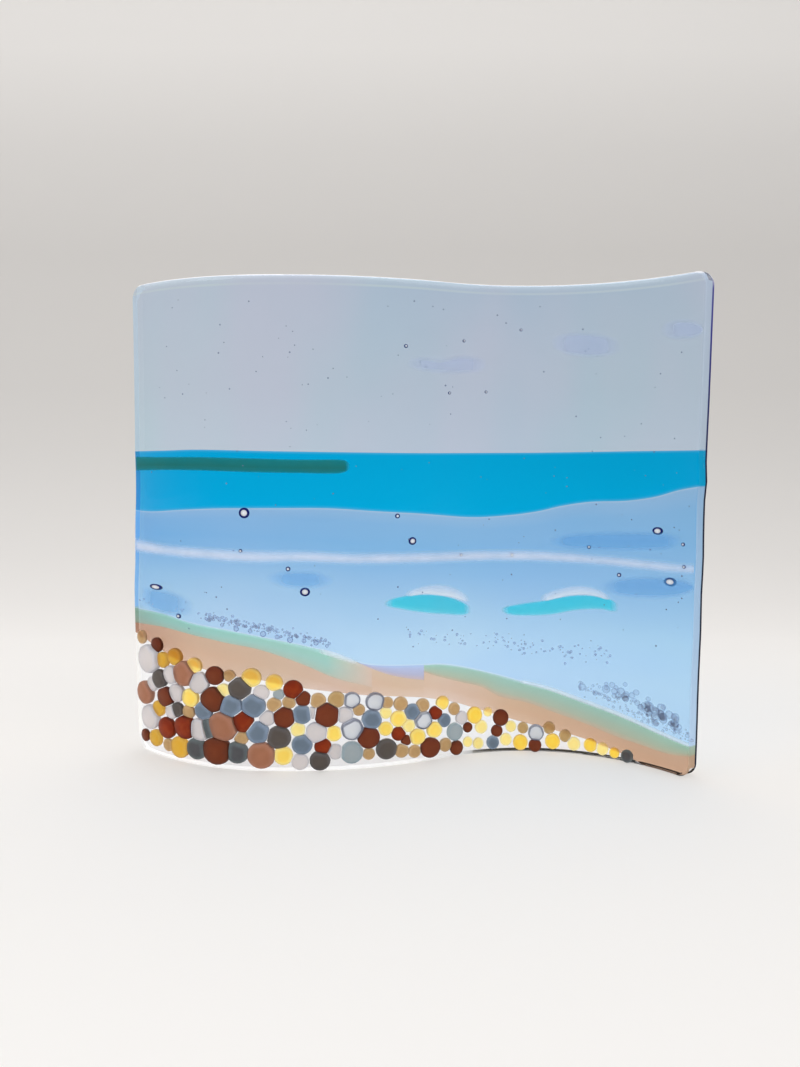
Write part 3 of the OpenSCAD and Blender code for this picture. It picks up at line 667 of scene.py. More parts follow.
sheetEdge = edgeMaterial()
beat = 0.00001
sheets = [
    (sheet("backSheet", footLine, rimLine, backLayer=True, step=0.0024, rowStep=0.008), "clear_glass", clearGlass,
     "back_sheet"),
    (sheet("skySheet", line["stripTop"], rimLine, flatHigh=True, rowStep=0.006), "sky_glass", skyGlass, "sky_sheet"),
    (sheet("horizonStrip", line["stripFoot"], line["stripTop"]), "cyan_glass", stripGlass, "horizon_strip"),
    (sheet("seaSheet", line["shore"], line["stripFoot"]), "sea_glass", seaGlass, "sea_sheet"),
    (sheet("shallowsLeft", line["sageLeft"], shallowTop, stop=lambda z: sageStop, extra=[washStart]), "sage_glass",
     sageLeftGlass, "shallows_left"),
    (sheet("washPatch", line["wash"], line["shore"], start=lambda z: washStart, stop=lambda z: washStop), "lilac_glass",
     washGlass, "wash_patch"),
    (sheet("shallowsRight", line["sageRight"], line["shore"], start=lambda z: washStop), "sage_glass", sageRightGlass,
     "shallows_right"),
    (sheet("sandStrip", sandLow, sandTop, extra=[sageStop - beat, sageStop + beat, washStop - beat, washStop + beat]),
     "sand_glass", sandGlass, "sand_strip"),
    (sheet("clearForeshore", footLine, line["sandFoot"], stop=lambda z: endOfForeshore, flatLow=True), "clear_glass",
     clearGlass, "clear_foreshore"),
]
for piece, slot, material, node in sheets:
    finishPiece(piece, slot, [material, inside, sheetEdge], node)
print("sheets slumped")

# ---- slivers laid on the sheets, fused almost flush
def loopRing(pixels):
    spots = [spotAt(*p) for p in pixels]
    return smoothLine([spots[-1]] + spots + spots[:2])[6:-7]


def crossings(ring, s):
    found = []
    for a, b in zip(ring, ring[1:] + ring[:1]):
        if (a[0] - s) * (b[0] - s) < 0:
            found.append(a[1] + (b[1] - a[1]) * (s - a[0]) / (b[0] - a[0]))
    return (min(found), max(found)) if len(found) > 1 else (ring[0][1], ring[0][1] + 0.0001)


lay = {"rows": 23, "step": 0.0012, "columns": 14, "foot": 0.00004, "proud": 0.0002, "sunk": 0.0004, "thinnest": 0.00015,
       "fromEnd": 0.0003, "endFades": 0.002, "tapers": 0.004, "taper": 3, "brighter": 1.17}


# A thin lens on the face. Its colour fades out over the width given, and it reaches past its outline by the swell.
def sliver(name, pixels, slot, material, node, fade, swell):
    ring = loopRing(pixels)
    mid = sum(p[1] for p in ring) / len(ring)
    begin = max(min(p[0] for p in ring), leftEnd(mid) + lay["fromEnd"])
    finish = min(max(p[0] for p in ring), rightEnd(mid) - lay["fromEnd"])
    room, rows = finish - begin, lay["rows"]
    columns = max(int(room / lay["step"]), lay["columns"])
    piece = gridBlock(name, columns, rows)
    startsIn, startTapers = begin > lay["endFades"], begin > lay["tapers"]
    stopsIn, stopTapers = finish < panelLength - lay["endFades"], finish < panelLength - lay["tapers"]
    soft, rise, along = [], [], []
    for v in piece.data.vertices:
        i, j, k = (round(c) for c in v.co)
        e = 0.003 + 0.994 * (1 - math.cos(math.pi * i / (columns - 1))) / 2
        r = (1 - math.cos(math.pi * j / (rows - 1))) / 4 + j / (rows - 1) / 2
        s = begin + room * e
        low, high = crossings(ring, s)
        low, high = low - swell, max(high, low + lay["thinnest"]) + swell
        z = low + (high - low) * r
        lens = 4 * r * (1 - r) * min(1, 12 * e * (1 - e))
        level = wave["front"] - faceInset(s, z)
        off = level + lay["foot"] + (lay["proud"] - lay["foot"]) * lens if k == 1 else level - lay["sunk"]
        p = wavePoint(s, off)
        v.co = (p.x, p.y, z)
        near = min(z - low, high - z, s - begin if startsIn else 9, finish - s if stopsIn else 9)
        share = min(max(near / fade, 0), 1)
        taper = lay["taper"] * fade
        ends = min(1, (s - begin) / taper if startTapers else 1, (finish - s) / taper if stopTapers else 1)
        soft.append(share * share * (3 - 2 * share) * max(ends, 0))
        rise.append(r)
        along.append(s)
    storeShare(piece, "soft", soft)
    storeShare(piece, "rise", rise)
    for face in piece.data.polygons:
        a = toward(headingAt(sum(along[v] for v in face.vertices) / len(face.vertices)))
        face.material_index = 0 if face.normal.x * a.x + face.normal.y * a.y > 0.5 else 1
    finishPiece(piece, slot, [material, inside], node)


# Coloured glass melted into the face: colours from its foot to its top, soft at its edges, uneven over its length
def sliverMaterial(name, stops, strength, uneven, scale, fadeUp=0.0, milky=0.08):
    t = Tree(name)
    noise = t.noise(scale, 3.0)
    patches = t.between(noise, 0.35, 0.65, 1 - uneven, 1.0)
    alpha = t.maths("MULTIPLY", t.maths("MULTIPLY", t.share("soft"), strength), patches)
    if fadeUp:
        alpha = t.maths("MULTIPLY", alpha, t.maths("SUBTRACT", 1.0, t.maths("MULTIPLY", t.share("rise"), fadeUp)))
    paint = t.ramp(t.share("rise"), [(at, [min(linear(c) * lay["brighter"], 1) for c in shown]) for at, shown in stops])
    tone = t.mixColour(t.maths("MULTIPLY", noise, milky), paint, (1, 1, 1))
    skin = t.add("ShaderNodeBsdfPrincipled", Base_Color=tone, Alpha=alpha, Roughness=0.12, Specular_IOR_Level=0.05)
    return t.finish(skin.outputs[0])


headlandGlass = sliverMaterial(
    "headlandGlass", [(0, (2, 112, 122)), (.4, (14, 102, 98)), (1, (4, 114, 120))], 0.98, 0.04, 60.0, milky=0.02)
foamGlass = sliverMaterial(
    "foamGlass", [(0, (192, 208, 232)), (.35, (206, 214, 232)), (1, (186, 206, 232))], 0.84, 0.2, 90.0)
deepGlass = sliverMaterial(
    "deepGlass", [(0, (86, 158, 218)), (.5, (70, 148, 214)), (1, (80, 150, 210))], 0.56, 0.15, 45.0)
waveGlass = sliverMaterial(
    "waveGlass", [(0, (104, 206, 228)), (.35, (70, 199, 224)), (1, (62, 195, 222))], 0.98, 0.08, 50.0, milky=0.0)
crestGlass = sliverMaterial(
    "crestGlass", [(0, (226, 232, 246)), (.5, (218, 226, 242)), (1, (200, 214, 236))], 1.0, 0.15, 80.0, fadeUp=0.8)
surfGlass = sliverMaterial("surfGlass", [(0, (216, 228, 236)), (1, (206, 226, 242))], 0.75, 0.3, 90.0)
cloudGlass = sliverMaterial("cloudGlass", [(0, (160, 174, 208)), (1, (156, 172, 208))], 0.5, 0.2, 30.0, milky=0.0)

# Name: outline in pixels, slot, glass, node, fade, swell
slivers = {
    "headland": ([(106, 457.2), (165, 456.6), (200, 456.5), (250, 457.8), (300, 459), (335, 459), (346, 460.5),
        (351, 466), (347, 471.5), (335, 474), (300, 473.6), (260, 473), (230, 472), (200, 471), (165, 470.4),
        (106, 470)], "green_glass", headlandGlass, "headland", 0.0008, 0.0001),
    "foamLine": ([(106, 533), (160, 545), (200, 549), (250, 552), (300, 552.5), (350, 554.5), (400, 554),
        (440, 553), (490, 551.6), (540, 552), (600, 556.5), (640, 560.5), (680, 565), (730, 568.5), (730, 573),
        (680, 571.5), (640, 567.5), (600, 563.5), (540, 560), (490, 559.6), (440, 561), (400, 562), (350, 562.5),
        (300, 560.5), (250, 561), (200, 557.5), (160, 553.5), (106, 543)],
        "white_glass", foamGlass, "foam_line", 0.0036, 0.0017),
    "deepWaterLeft": ([(141, 590), (158, 589.5), (178, 595), (196, 605), (190, 613), (172, 614), (155, 609),
        (143, 600)], "deep_blue_glass", deepGlass, "deep_water_left", 0.0034, 0.0017),
    "deepWaterMiddle": ([(263, 577), (285, 572.5), (315, 573), (337, 580), (320, 586), (290, 586.5)],
        "deep_blue_glass", deepGlass, "deep_water_middle", 0.0031, 0.0016),
    "deepWaterUpperRight": ([(546, 541), (575, 534), (615, 532.5), (655, 533), (684, 538), (676, 547), (640, 550),
        (600, 549.5), (565, 547)], "deep_blue_glass", deepGlass, "deep_water_upper_right", 0.0031, 0.0014),
    "deepWaterLowerRight": ([(598, 586), (620, 579.5), (650, 577.5), (680, 580), (694, 587), (680, 595),
        (650, 597), (618, 594)], "deep_blue_glass", deepGlass, "deep_water_lower_right", 0.0032, 0.0016),
    "waveLeft": ([(383, 604), (400, 597.5), (425, 595), (450, 598), (471, 608), (465, 614), (440, 613.2),
        (418, 611), (400, 608)], "turquoise_glass", waveGlass, "wave_left", 0.0014, 0.0009),
    "waveRight": ([(500, 609.5), (518, 605), (545, 601), (570, 596.4), (592, 596.2), (610, 600), (619, 606),
        (616, 611), (600, 608.4), (575, 609.4), (548, 614), (515, 614.5)],
        "turquoise_glass", waveGlass, "wave_right", 0.0014, 0.0009),
    "crestLeft": ([(405, 593.5), (420, 587.5), (438, 585), (455, 588.5), (469, 597.6), (467, 601), (450, 596.4),
        (425, 593.6), (408, 595.8)], "white_glass", crestGlass, "crest_left", 0.0013, 0.0008),
    "crestRight": ([(540, 597), (556, 590), (578, 586), (597, 589.5), (611, 597.5), (609, 600.4), (592, 595),
        (570, 595), (545, 600.4)], "white_glass", crestGlass, "crest_right", 0.0013, 0.0008),
    "surfLeft": ([(318, 648.5), (330, 650.6), (345, 655.6), (358, 661.2), (357, 664.4), (343, 660.6),
        (330, 656.4), (319, 653)], "white_glass", surfGlass, "surf_left", 0.0011, 0.0003),
    "surfRight": ([(520, 679.5), (545, 684.6), (570, 693.2), (598, 703.4), (626, 714.4), (654, 727.4),
        (682, 739.6), (700, 747.6), (698, 750.6), (680, 744), (652, 731.6), (624, 719), (596, 708), (568, 697.8),
        (543, 688.8), (520, 683)], "white_glass", surfGlass, "surf_right", 0.0011, 0.0002),
    "cloudLeft": ([(403, 364), (418, 358.5), (440, 361), (462, 357), (488, 361), (484, 369.5), (455, 372.5),
        (425, 370)], "lilac_glass", cloudGlass, "cloud_left", 0.003, 0.0016),
    "cloudMiddle": ([(548, 343), (562, 335.5), (590, 334.5), (618, 341), (622, 350), (598, 355.5), (568, 353)],
        "lilac_glass", cloudGlass, "cloud_middle", 0.003, 0.0016),
    "cloudRight": ([(657, 330), (670, 323), (690, 322), (703, 328), (696, 336), (672, 337.5)],
        "lilac_glass", cloudGlass, "cloud_right", 0.003, 0.0016),
}
for name, settings in slivers.items():
    sliver(name, *settings)
print("slivers laid")

# ---- pebbles, each a melted bead pressed against its neighbours: column, row and height in pixels
beads = {
    "white": [(147, 659, 27), (170, 675, 17), (198, 683, 20), (152, 684, 14), (176, 693, 17), (149, 717, 23),
              (171, 711.5, 14), (199, 730, 21), (261, 693, 14), (267, 718.6, 14), (313, 713, 11), (345, 715.5, 15),
              (316.5, 733, 19), (335.5, 752, 14), (300, 762, 15), (462, 718, 13)],
    "ringed": [(352, 700.6, 15), (375.4, 702, 17), (352.6, 729.6, 20), (424, 720.5, 17), (536, 733, 16)],
    "aqua": [(278.6, 694.5, 10), (352, 753, 20), (455.5, 732, 17)],
    "amber": [(162, 660, 15), (174, 657, 16), (158, 708.5, 15), (155, 738, 16), (179, 747.5, 20), (475, 715.5, 16),
              (520.5, 742.6, 15), (552.5, 741.6, 15), (590, 745.4, 13), (614, 753, 10)],
    "yellow": [(193.5, 666, 15), (189.5, 698, 17), (251, 678, 17), (274, 683, 15), (334, 734, 14), (283, 756, 17),
               (443, 703, 13), (399, 719, 15), (386, 729, 13), (418, 737, 15), (435, 730, 15)],
    "lemon": [(223, 691, 13), (386, 713, 11), (298, 730, 13), (409, 726, 12), (468, 742, 10), (478.5, 743.5, 11),
              (488, 712, 9), (481.5, 727, 13), (511, 726.5, 11), (506, 739.6, 12), (573.6, 744, 13), (602, 749, 12)],
    "tan": [(141, 637, 13), (188, 712, 13), (168, 745, 12), (229, 676, 11), (274, 705, 13), (289, 702.5, 12),
            (241, 738, 13), (318, 701, 14), (387.5, 703, 11), (359, 710, 11), (369, 754, 11), (401, 704, 13),
            (423, 705.6, 13), (454.6, 709, 12), (402, 751, 13), (415, 751.6, 12), (446, 745, 13)],
    "olive": [(336.6, 700, 15), (523, 728, 11), (549, 728, 12), (565, 736, 12)],
    "brown": [(164.5, 697, 19), (214, 676, 17), (303, 699, 14), (284, 718, 19), (327, 715.5, 22), (369, 738, 20),
              (406.5, 740.5, 10), (431, 748, 19), (501, 718, 16), (497, 731, 12), (535, 746, 13)],
    "rust": [(166, 728, 20), (184, 727.5, 22), (242, 722, 20), (293, 690, 17), (323, 747, 15), (399, 734, 13),
             (436, 713, 13)],
    "darkBrown": [(156, 645, 14), (145, 735, 12), (468, 727.5, 10), (457, 748, 14), (212, 700, 23), (216, 751, 26)],
    "pink": [(183, 674, 23), (144, 692.5, 22), (222, 727, 27), (261, 756, 24)],
    "charcoal": [(158.5, 679, 18), (177, 710, 14), (239, 689, 20), (278.6, 738, 21), (320, 761, 18), (387, 749.5, 19)],
    "slate": [(203, 711, 17), (230, 707, 21), (253, 706.5, 21), (257.6, 733, 20), (302, 715, 17), (372, 720, 18),
              (302, 745, 18), (413, 712, 15), (445, 720.5, 13), (493, 742.6, 13)],
    "darkSlate": [(208, 729, 19), (196, 749, 20), (236.6, 753, 20), (626.5, 757, 12)],
}
bun = {"pixel": 0.000445, "inFront": 0.5, "centre": 0.28, "up": 0.40, "down": 0.45, "power": 0.8, "flat": 0.6,
       "grow": 1.09, "seam": 0.00036, "foot": 0.0004, "least": 0.2, "segments": 20, "rings": 10, "weld": 0.00001,
       "bevel": 0.00022, "bevelFrom": 42, "mottle": 0.3, "mottleScale": 350.0, "toneShare": 0.25, "toned": 0.72}
luck = random.Random(7)


def beadPlace(col, row, height):
    r = height * bun["pixel"] / 2
    s, z = spotAt(col, row, wave["front"] + r * bun["inFront"])
    return max(s, leftEnd(z) + r), max(z, r + bun["foot"]), r * bun["grow"]


# A ball whose poles face the viewer and the back
def roundSeed(segments, rings):
    bpy.ops.mesh.primitive_uv_sphere_add(segments=segments, ring_count=rings, radius=1,
                                         rotation=(math.radians(90), 0, 0))
    bpy.ops.object.transform_apply(rotation=True)
    return bpy.context.object


placed = [(kind,) + beadPlace(*spot) for kind, spots in beads.items() for spot in spots]


# Where a bead is pressed flat against the beads beside it
def beadCuts(index):
    _, s, z, r = placed[index]
    cuts = []
    for other, (_, s2, z2, r2) in enumerate(placed):
        apart = math.hypot(s2 - s, z2 - z)
        if other == index or apart >= r + r2 + bun["seam"]:
            continue
        reach = (apart + (r * r - r2 * r2) / apart) / 2 - bun["seam"] / 2
        if reach < r:
            cuts.append(((s2 - s) / apart, (z2 - z) / apart, max(reach, bun["least"] * r)))
    return cuts


# A bun lying in the flat: x along the panel, y away from the viewer, z up
def makeBead(index):
    _, s0, z0, r = placed[index]
    piece = roundSeed(bun["segments"], bun["rings"])
    for v in piece.data.vertices:
        across, up = math.hypot(v.co.x, v.co.z), -v.co.y
        swell = across ** (bun["power"] - 1) if across > 1e-6 else 0
        lift = math.copysign(abs(up) ** bun["flat"], up)
        lift = bun["centre"] + lift * (bun["up"] if up > 0 else bun["down"])
        v.co = (v.co.x * swell * r, -lift * r, v.co.z * swell * r)
    cuts = beadCuts(index)
    bpy.ops.object.mode_set(mode="EDIT")
    for x, z, reach in cuts:
        bpy.ops.mesh.select_all(action="SELECT")
        bpy.ops.mesh.bisect(plane_co=(x * reach, 0, z * reach), plane_no=(x, 0, z), use_fill=True, clear_outer=True)
    bpy.ops.mesh.select_all(action="SELECT")
    bpy.ops.mesh.remove_doubles(threshold=bun["weld"])
    bpy.ops.mesh.normals_make_consistent(inside=False)
    bpy.ops.object.mode_set(mode="OBJECT")
    applyModifier(piece, "BEVEL", width=bun["bevel"], segments=2, limit_method="ANGLE",
                  angle_limit=math.radians(bun["bevelFrom"]))
    rim, tone, drop = [], [], luck.random()
    for v in piece.data.vertices:
        x, z = v.co.x, v.co.z
        gap = min([r - math.hypot(x, z)] + [reach - (x * cx + z * cz) for cx, cz, reach in cuts])
        rim.append(1 - min(max(gap / r, 0), 1))
        tone.append(drop)
        p = wavePoint(s0 + x, wave["front"] - v.co.y)
        v.co = (p.x, p.y, z0 + z)
    storeShare(piece, "rim", rim)
    storeShare(piece, "tone", tone)
    return piece


def throughColour(shown):
    return tuple(min(linear(a) / linear(b), 0.98) for a, b in zip(shown, lowGround))


# Bead glass, coloured from the middle of the bead (0) to its rim (1)
def beadGlass(name, stops, transmission, other, sideways=None, glow=0.0):
    t = Tree(name)
    body = t.ramp(t.share("rim"), [(at, throughColour(shown)) for at, shown in stops], "EASE")
    mottled = t.between(t.noise(bun["mottleScale"]), 0.45, 0.7, 0.0, bun["mottle"])
    body = t.mixColour(mottled, body, throughColour(other))
    shift = t.maths("MULTIPLY", t.share("tone"), bun["toneShare"])
    body = t.mixColour(shift, body, t.times(body, (bun["toned"],) * 3))
    if sideways:
        body = t.times(body, alongPanel(t, sideways))
    skin = t.add("ShaderNodeBsdfPrincipled", Base_Color=body, Roughness=0.4, IOR=1.3, Transmission_Weight=transmission,
                 Specular_Tint=(0.5, 0.5, 0.5), Emission_Strength=glow)
    if glow:
        t.feed(skin.inputs["Emission Color"], body)
    return t.finish(t.lampsThrough(skin.outputs[0], t.times(body, (transmission,) * 3)))


def joined(name, members, slot, materials, *nodes, smooth=60):
    setActive(members[0])
    for member in members:
        member.select_set(True)
    bpy.ops.object.join()
    group = bpy.context.object
    group.name = name
    group.data.name = name
    finishPiece(group, slot, materials, *nodes, smooth=smooth)


amberSide = [(0, (.72, .6, .5)), (.16, (.78, .66, .56)), (.3, (1, 1, 1))]
# Kind: colours, how much light it lets through, mottling, factors along the panel, glow
beadLooks = {
    "white": ([(0, (236, 226, 221)), (.75, (232, 223, 218)), (.93, (226, 221, 223)), (1, (203, 201, 208))],
        0.6, (225, 217, 214)),
    "ringed": ([(0, (240, 240, 244)), (.74, (234, 234, 239)), (.86, (127, 129, 144)), (.94, (118, 120, 138)),
                (1, (180, 182, 196))], 0.6, (229, 229, 236)),
    "aqua": ([(0, (180, 187, 187)), (.7, (178, 186, 187)), (.92, (171, 187, 193)), (1, (198, 214, 220))],
        0.6, (191, 198, 198)),
    "amber": ([(0, (244, 210, 84)), (.6, (241, 202, 74)), (.9, (242, 212, 112)), (1, (223, 188, 112))],
        0.9, (235, 188, 62), amberSide, 0.1),
    "yellow": ([(0, (246, 212, 100)), (.6, (242, 207, 96)), (.9, (246, 222, 142)), (1, (230, 208, 150))],
        0.9, (236, 200, 92), None, 0.1),
    "lemon": ([(0, (243, 222, 142)), (.6, (240, 217, 134)), (.9, (244, 229, 172)), (1, (228, 216, 172))],
        0.9, (236, 210, 120), None, 0.1),
    "tan": ([(0, (214, 176, 122)), (.6, (209, 170, 118)), (.9, (227, 193, 147)), (1, (218, 191, 156))],
        0.65, (196, 156, 102)),
    "olive": ([(0, (211, 176, 119)), (.6, (207, 170, 114)), (.9, (220, 189, 138)), (1, (207, 180, 138))],
        0.65, (193, 156, 100)),
    "brown": ([(0, (138, 69, 40)), (.6, (134, 65, 37)), (.92, (128, 62, 40)), (1, (100, 53, 42))], 0.6, (122, 55, 33)),
    "rust": ([(0, (167, 60, 19)), (.6, (153, 53, 21)), (.92, (140, 51, 26)), (1, (111, 46, 31))], 0.6, (191, 86, 31)),
    "darkBrown": ([(0, (143, 72, 39)), (.6, (131, 63, 35)), (.92, (121, 61, 37)), (1, (96, 53, 36))],
        0.6, (116, 54, 33)),
    "pink": ([(0, (189, 130, 99)), (.6, (183, 124, 94)), (.92, (196, 141, 115)), (1, (178, 135, 118))],
        0.6, (173, 115, 86)),
    "charcoal": ([(0, (108, 97, 88)), (.6, (104, 94, 87)), (.92, (116, 110, 107)), (1, (110, 107, 107))],
        0.6, (89, 82, 77)),
    "slate": ([(0, (122, 134, 148)), (.6, (123, 137, 151)), (.9, (151, 167, 186)), (1, (169, 185, 206))],
        0.65, (106, 118, 133)),
    "darkSlate": ([(0, (99, 96, 96)), (.6, (97, 96, 98)), (.9, (121, 131, 133)), (1, (137, 149, 150))],
        0.6, (83, 80, 81)),
}
for kind in beads:
    tag = kind.replace("dark", "dark_").lower()
    members = [makeBead(i) for i, spot in enumerate(placed) if spot[0] == kind]
    joined("pebbles" + kind[0].upper() + kind[1:], members, "pebble_" + tag + "_glass",
           [beadGlass(kind + "Pebble", *beadLooks[kind])], "pebbles_" + tag, smooth=40)
print("pebbles melted")

# ---- air in the glass: flattened bubbles behind the front face, and froth in the surf
bubble = {"proud": 0.0003, "deepest": 0.0012}


def makeBubble(name, col, row, wide, tall, segments=18, rings=9):
    left, right = spotAt(col - wide / 2, row)[0], spotAt(col + wide / 2, row)[0]
    high, low = spotAt(col, row - tall / 2)[1], spotAt(col, row + tall / 2)[1]
    s0, z0, rs, rz = (left + right) / 2, (high + low) / 2, (right - left) / 2, (high - low) / 2
    deep = min(rs, rz, bubble["deepest"]) * 0.5
    piece = roundSeed(segments, rings)
    piece.name = name
    rim = []
    for v in piece.data.vertices:
        x, y, z = v.co
        s = s0 + x * rs
        rim.append(math.hypot(x, z))
        p = wavePoint(s, wave["front"] - faceInset(s, z0) + bubble["proud"] - deep * (1 + y))
        v.co = (p.x, p.y, z0 + z * rz)
    storeShare(piece, "rim", rim)
    a = toward(headingAt(s0))
    for face in piece.data.polygons:
        face.material_index = 0 if face.normal.x * a.x + face.normal.y * a.y > 0 else 1
    return piece


# Air drawn as paint: each bubble gets a darker ring, painted shade at its edge, round a paler middle, painted light
# through it
def bubbleMaterial(name, ring, middle, ringAlpha, middleAlpha, inner=0.52):
    t = Tree(name)
    rim, outer = t.share("rim"), inner + .12
    tint = t.ramp(rim, [(0, colour(*middle)), (inner, colour(*middle)), (outer, colour(*ring)), (1, colour(*ring))])
    veils = [(0, middleAlpha), (inner, middleAlpha * 0.7), (outer, ringAlpha), (.92, ringAlpha), (1, ringAlpha * 0.5)]
    veil = t.ramp(rim, [(at, (alpha,) * 3) for at, alpha in veils])
    skin = t.add("ShaderNodeBsdfPrincipled", Base_Color=tint, Alpha=veil, Roughness=0.3, Specular_IOR_Level=0.1)
    return t.finish(skin.outputs[0])


ringAir = bubbleMaterial("ringAir", (4, 18, 100), (252, 253, 255), 1.0, 0.9, 0.5)
pinAir = bubbleMaterial("pinAir", (20, 44, 112), (244, 250, 255), 1.0, 0.9, 0.44)
speckAir = bubbleMaterial("speckAir", (96, 112, 150), (150, 166, 196), 0.7, 0.7)
frothAir = bubbleMaterial("frothAir", (156, 172, 210), (176, 196, 228), 0.42, 0.3)
mistAir = bubbleMaterial("mistAir", (160, 178, 214), (172, 192, 224), 0.22, 0.17)

# Column, row, width and height in pixels
ringed = [(244, 513, 11, 11), (397.6, 516, 5, 5), (412.6, 541, 8, 8), (288, 569, 5, 5), (305, 592, 10.5, 9),
          (240.5, 551, 4, 4), (156, 587, 13, 6), (178.5, 616, 5, 5), (657.5, 531, 11, 8), (683, 544.5, 4, 4),
          (589, 547, 4, 4), (670, 582, 13, 9), (619, 575, 4.5, 4.5), (512, 555, 5, 5), (461, 555, 4, 4),
          (684, 567, 4, 4), (406, 346, 4, 4), (521, 330, 3, 3), (464, 341, 3, 3), (449.5, 393, 3, 3), (486, 392, 3, 3)]
joined("airBubbles", [makeBubble("airBubble", *b) for b in ringed if b[2] > 6], "clear_glass", [ringAir, inside])
joined("pinBubbles", [makeBubble("pinBubble", *b) for b in ringed if b[2] <= 6], "clear_glass", [pinAir, inside])

specks = []
for _ in range(150):
    col, row = luck.uniform(150, 690), luck.uniform(300, 650)
    size = luck.uniform(0.8, 1.9)
    specks.append(makeBubble("airSpeck", col, row, size, size, 8, 4))
joined("airSpecks", specks, "clear_glass", [speckAir, inside])


grain = {"drawn": 0.8, "along": 0.6, "across": 0.4}


# Grains at the spots given, and strays about each line: start, end, how far they scatter, number, sizes
def froth(name, node, spots, strays, air):
    grains = [makeBubble("frothGrain", c, r, h * grain["drawn"], h * grain["drawn"], 14, 7) for c, r, h in spots]
    for (c0, r0), (c1, r1), scatter, number, sizes in strays:
        for _ in range(number):
            share = luck.random()
            size = luck.choice(sizes)
            col = c0 + (c1 - c0) * share + luck.gauss(0, scatter * grain["along"])
            row = r0 + (r1 - r0) * share + luck.gauss(0, scatter * grain["across"])
            grains.append(makeBubble("frothGrain", min(max(col, c0), c1), row, size, size, 10, 5))
    joined(name, grains, "froth_glass", [air, inside], node)


froth("frothLeft", "froth_left",
      [(209, 620, 6), (222, 625, 5), (236, 629, 7), (250, 631, 6), (263, 634, 8), (277, 637, 6), (290, 640, 8),
       (304, 641, 6), (316, 643, 7), (327, 646, 5)],
      [((206, 616), (330, 643), 5, 190, (1.2, 1.6, 2.4, 3.4)), ((140, 600), (206, 618), 5, 14, (1.2, 1.8)),
       ((410, 634), (610, 655), 12, 110, (1.2, 1.6, 2.2, 3.0))], frothAir)
froth("frothRight", "froth_right",
      [(582, 687, 10), (595, 693, 7), (612, 685, 8), (614, 696, 7), (625, 684.5, 6), (626, 694.5, 8.5), (636, 692.5, 8),
       (637, 703, 8), (648, 699, 6.5), (651, 708.5, 9), (663, 707, 7), (662, 717.5, 7), (674, 717, 8), (679, 727, 7),
       (687, 736, 6)],
      [((580, 684), (690, 738), 8, 150, (1.4, 2.2, 3.4)), ((606, 688), (676, 722), 9, 42, (5.0, 7.0, 9.0))], mistAir)
print("air caught")

# ---- backdrop: a sheet of pale card that curves up behind
# tones: the card's painted shading, brightest on the floor, darkest partway up the wall
card = {"half": 2.2, "front": -1.3, "bend": 0.24, "radius": 0.35, "top": 2.0,
        "tones": [(-0.2, 246), (-0.12, 243), (0.0, 241), (0.18, 240), (0.24, 238), (0.345, 228), (0.445, 220),
                  (0.66, 207), (0.76, 203), (0.94, 204), (1.05, 211), (1.15, 222)]}
bpy.ops.mesh.primitive_plane_add(size=1, location=(0, (card["front"] + card["bend"]) / 2, 0))
floor = bpy.context.object
floor.name = "backdrop"
floor.data.name = "backdrop"
floor.scale = (2 * card["half"], card["bend"] - card["front"], 1)
bpy.ops.object.transform_apply(location=True, rotation=True, scale=True)
bpy.ops.object.mode_set(mode="EDIT")
bpy.ops.mesh.select_all(action="DESELECT")
bpy.ops.object.mode_set(mode="OBJECT")
for side in floor.data.edges:
    side.select = all(floor.data.vertices[v].co.y > card["bend"] - 0.001 for v in side.vertices)
bpy.ops.object.mode_set(mode="EDIT")
bpy.ops.mesh.select_mode(type="EDGE")
bpy.ops.mesh.spin(steps=32, angle=math.radians(-90), center=(0, card["bend"], card["radius"]), axis=(1, 0, 0))
bpy.ops.mesh.extrude_region_move(TRANSFORM_OT_translate={"value": (0, 0, card["top"] - card["radius"])})
bpy.ops.object.mode_set(mode="OBJECT")
bpy.ops.object.shade_smooth()
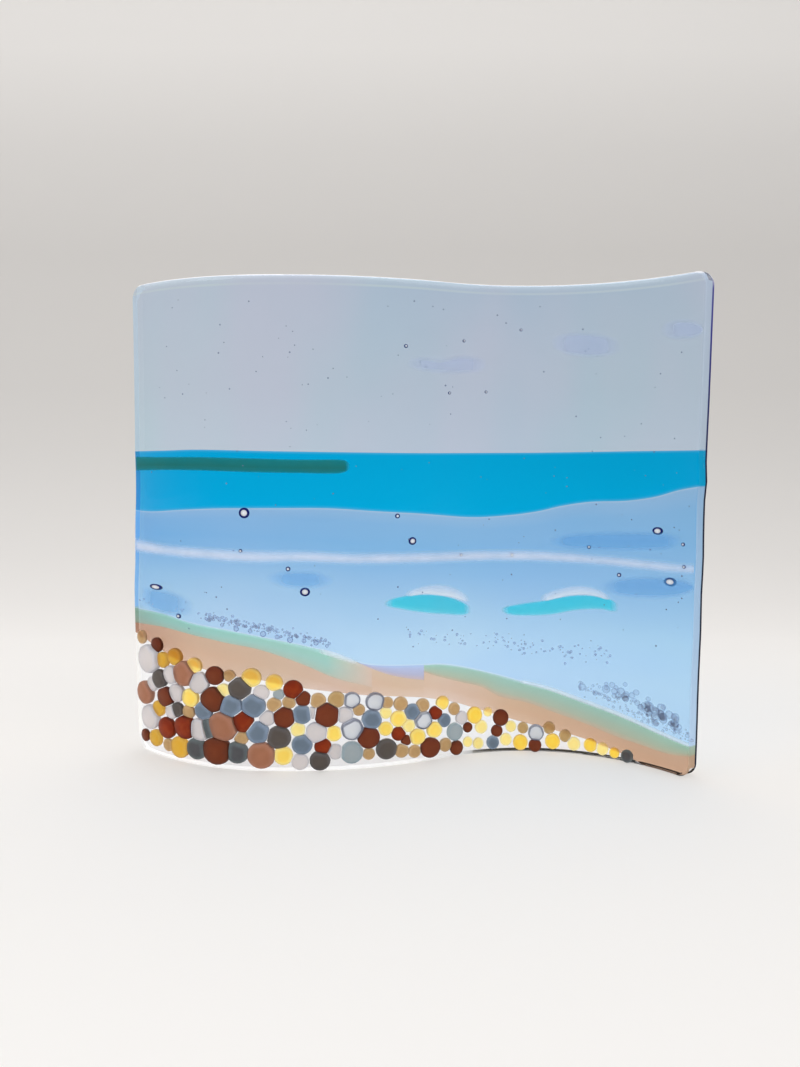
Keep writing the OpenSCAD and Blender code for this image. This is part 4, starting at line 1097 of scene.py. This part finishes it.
print("backdrop top", max(v.co.z for v in floor.data.vertices), max(v.co.y for v in floor.data.vertices))


# The card's tone runs along the floor and up behind, painted shade that darkens up the curve and towards the right.
# Half of it glows for all but diffuse rays. Seen through glass it is a little brighter.
def cardMaterial():
    t = Tree("paleCard")
    way = t.between(t.maths("ADD", t.axis("Y"), t.axis("Z")), -0.2, 1.2)
    tint = t.ramp(way, [((at + 0.2) / 1.4, colour(v, v - 3, v - 6)) for at, v in card["tones"]])
    # painted shade: darker towards the right
    tint = t.times(tint, t.between(t.axis("X"), -0.4, 0.4, 1.015, 0.965))
    bump = t.add("ShaderNodeBump", Strength=0.05, Distance=0.0002, Height=t.noise(400.0))
    paper = t.add("ShaderNodeBsdfDiffuse", Color=tint, Normal=bump.outputs["Normal"])
    light = t.add("ShaderNodeLightPath").outputs
    through = t.mixColour(light["Is Transmission Ray"], (1, 1, 1), (1.04, 1.07, 1.14))
    glow = t.add("ShaderNodeEmission", Color=t.times(tint, through), Strength=1.0)
    part = t.maths("MULTIPLY", t.maths("SUBTRACT", 1.0, light["Is Diffuse Ray"]), 0.5)
    return t.finish(t.mixShader(part, paper.outputs[0], glow.outputs[0]))


floor.data.materials.append(cardMaterial())

# ---- light: an even room, and soft lamps at the left, the right and overhead
world = bpy.data.worlds.new("room")
world.use_nodes = True
world.node_tree.nodes["Background"].inputs["Color"].default_value = (1, 1, 1, 1)
world.node_tree.nodes["Background"].inputs["Strength"].default_value = 0.55
bpy.context.scene.world = world
lamps = {"lampLeft": ((-1.3, -1.0, 1.3), 1.0, 9.0), "lampRight": ((1.3, -0.9, 1.1), 1.0, 6.0),
         "lampOver": ((0, 0.25, 1.3), 0.8, 6.0)}
for name, (place, size, power) in lamps.items():
    bpy.ops.object.light_add(type="AREA", location=place)
    lamp = bpy.context.object
    lamp.name = name
    lamp.data.size = size
    lamp.data.energy = power
    lamp.rotation_euler = (Vector((0, 0, 0.1)) - Vector(place)).to_track_quat("-Z", "Y").to_euler()

bpy.context.scene.view_settings.view_transform = "Standard"
print("lit")
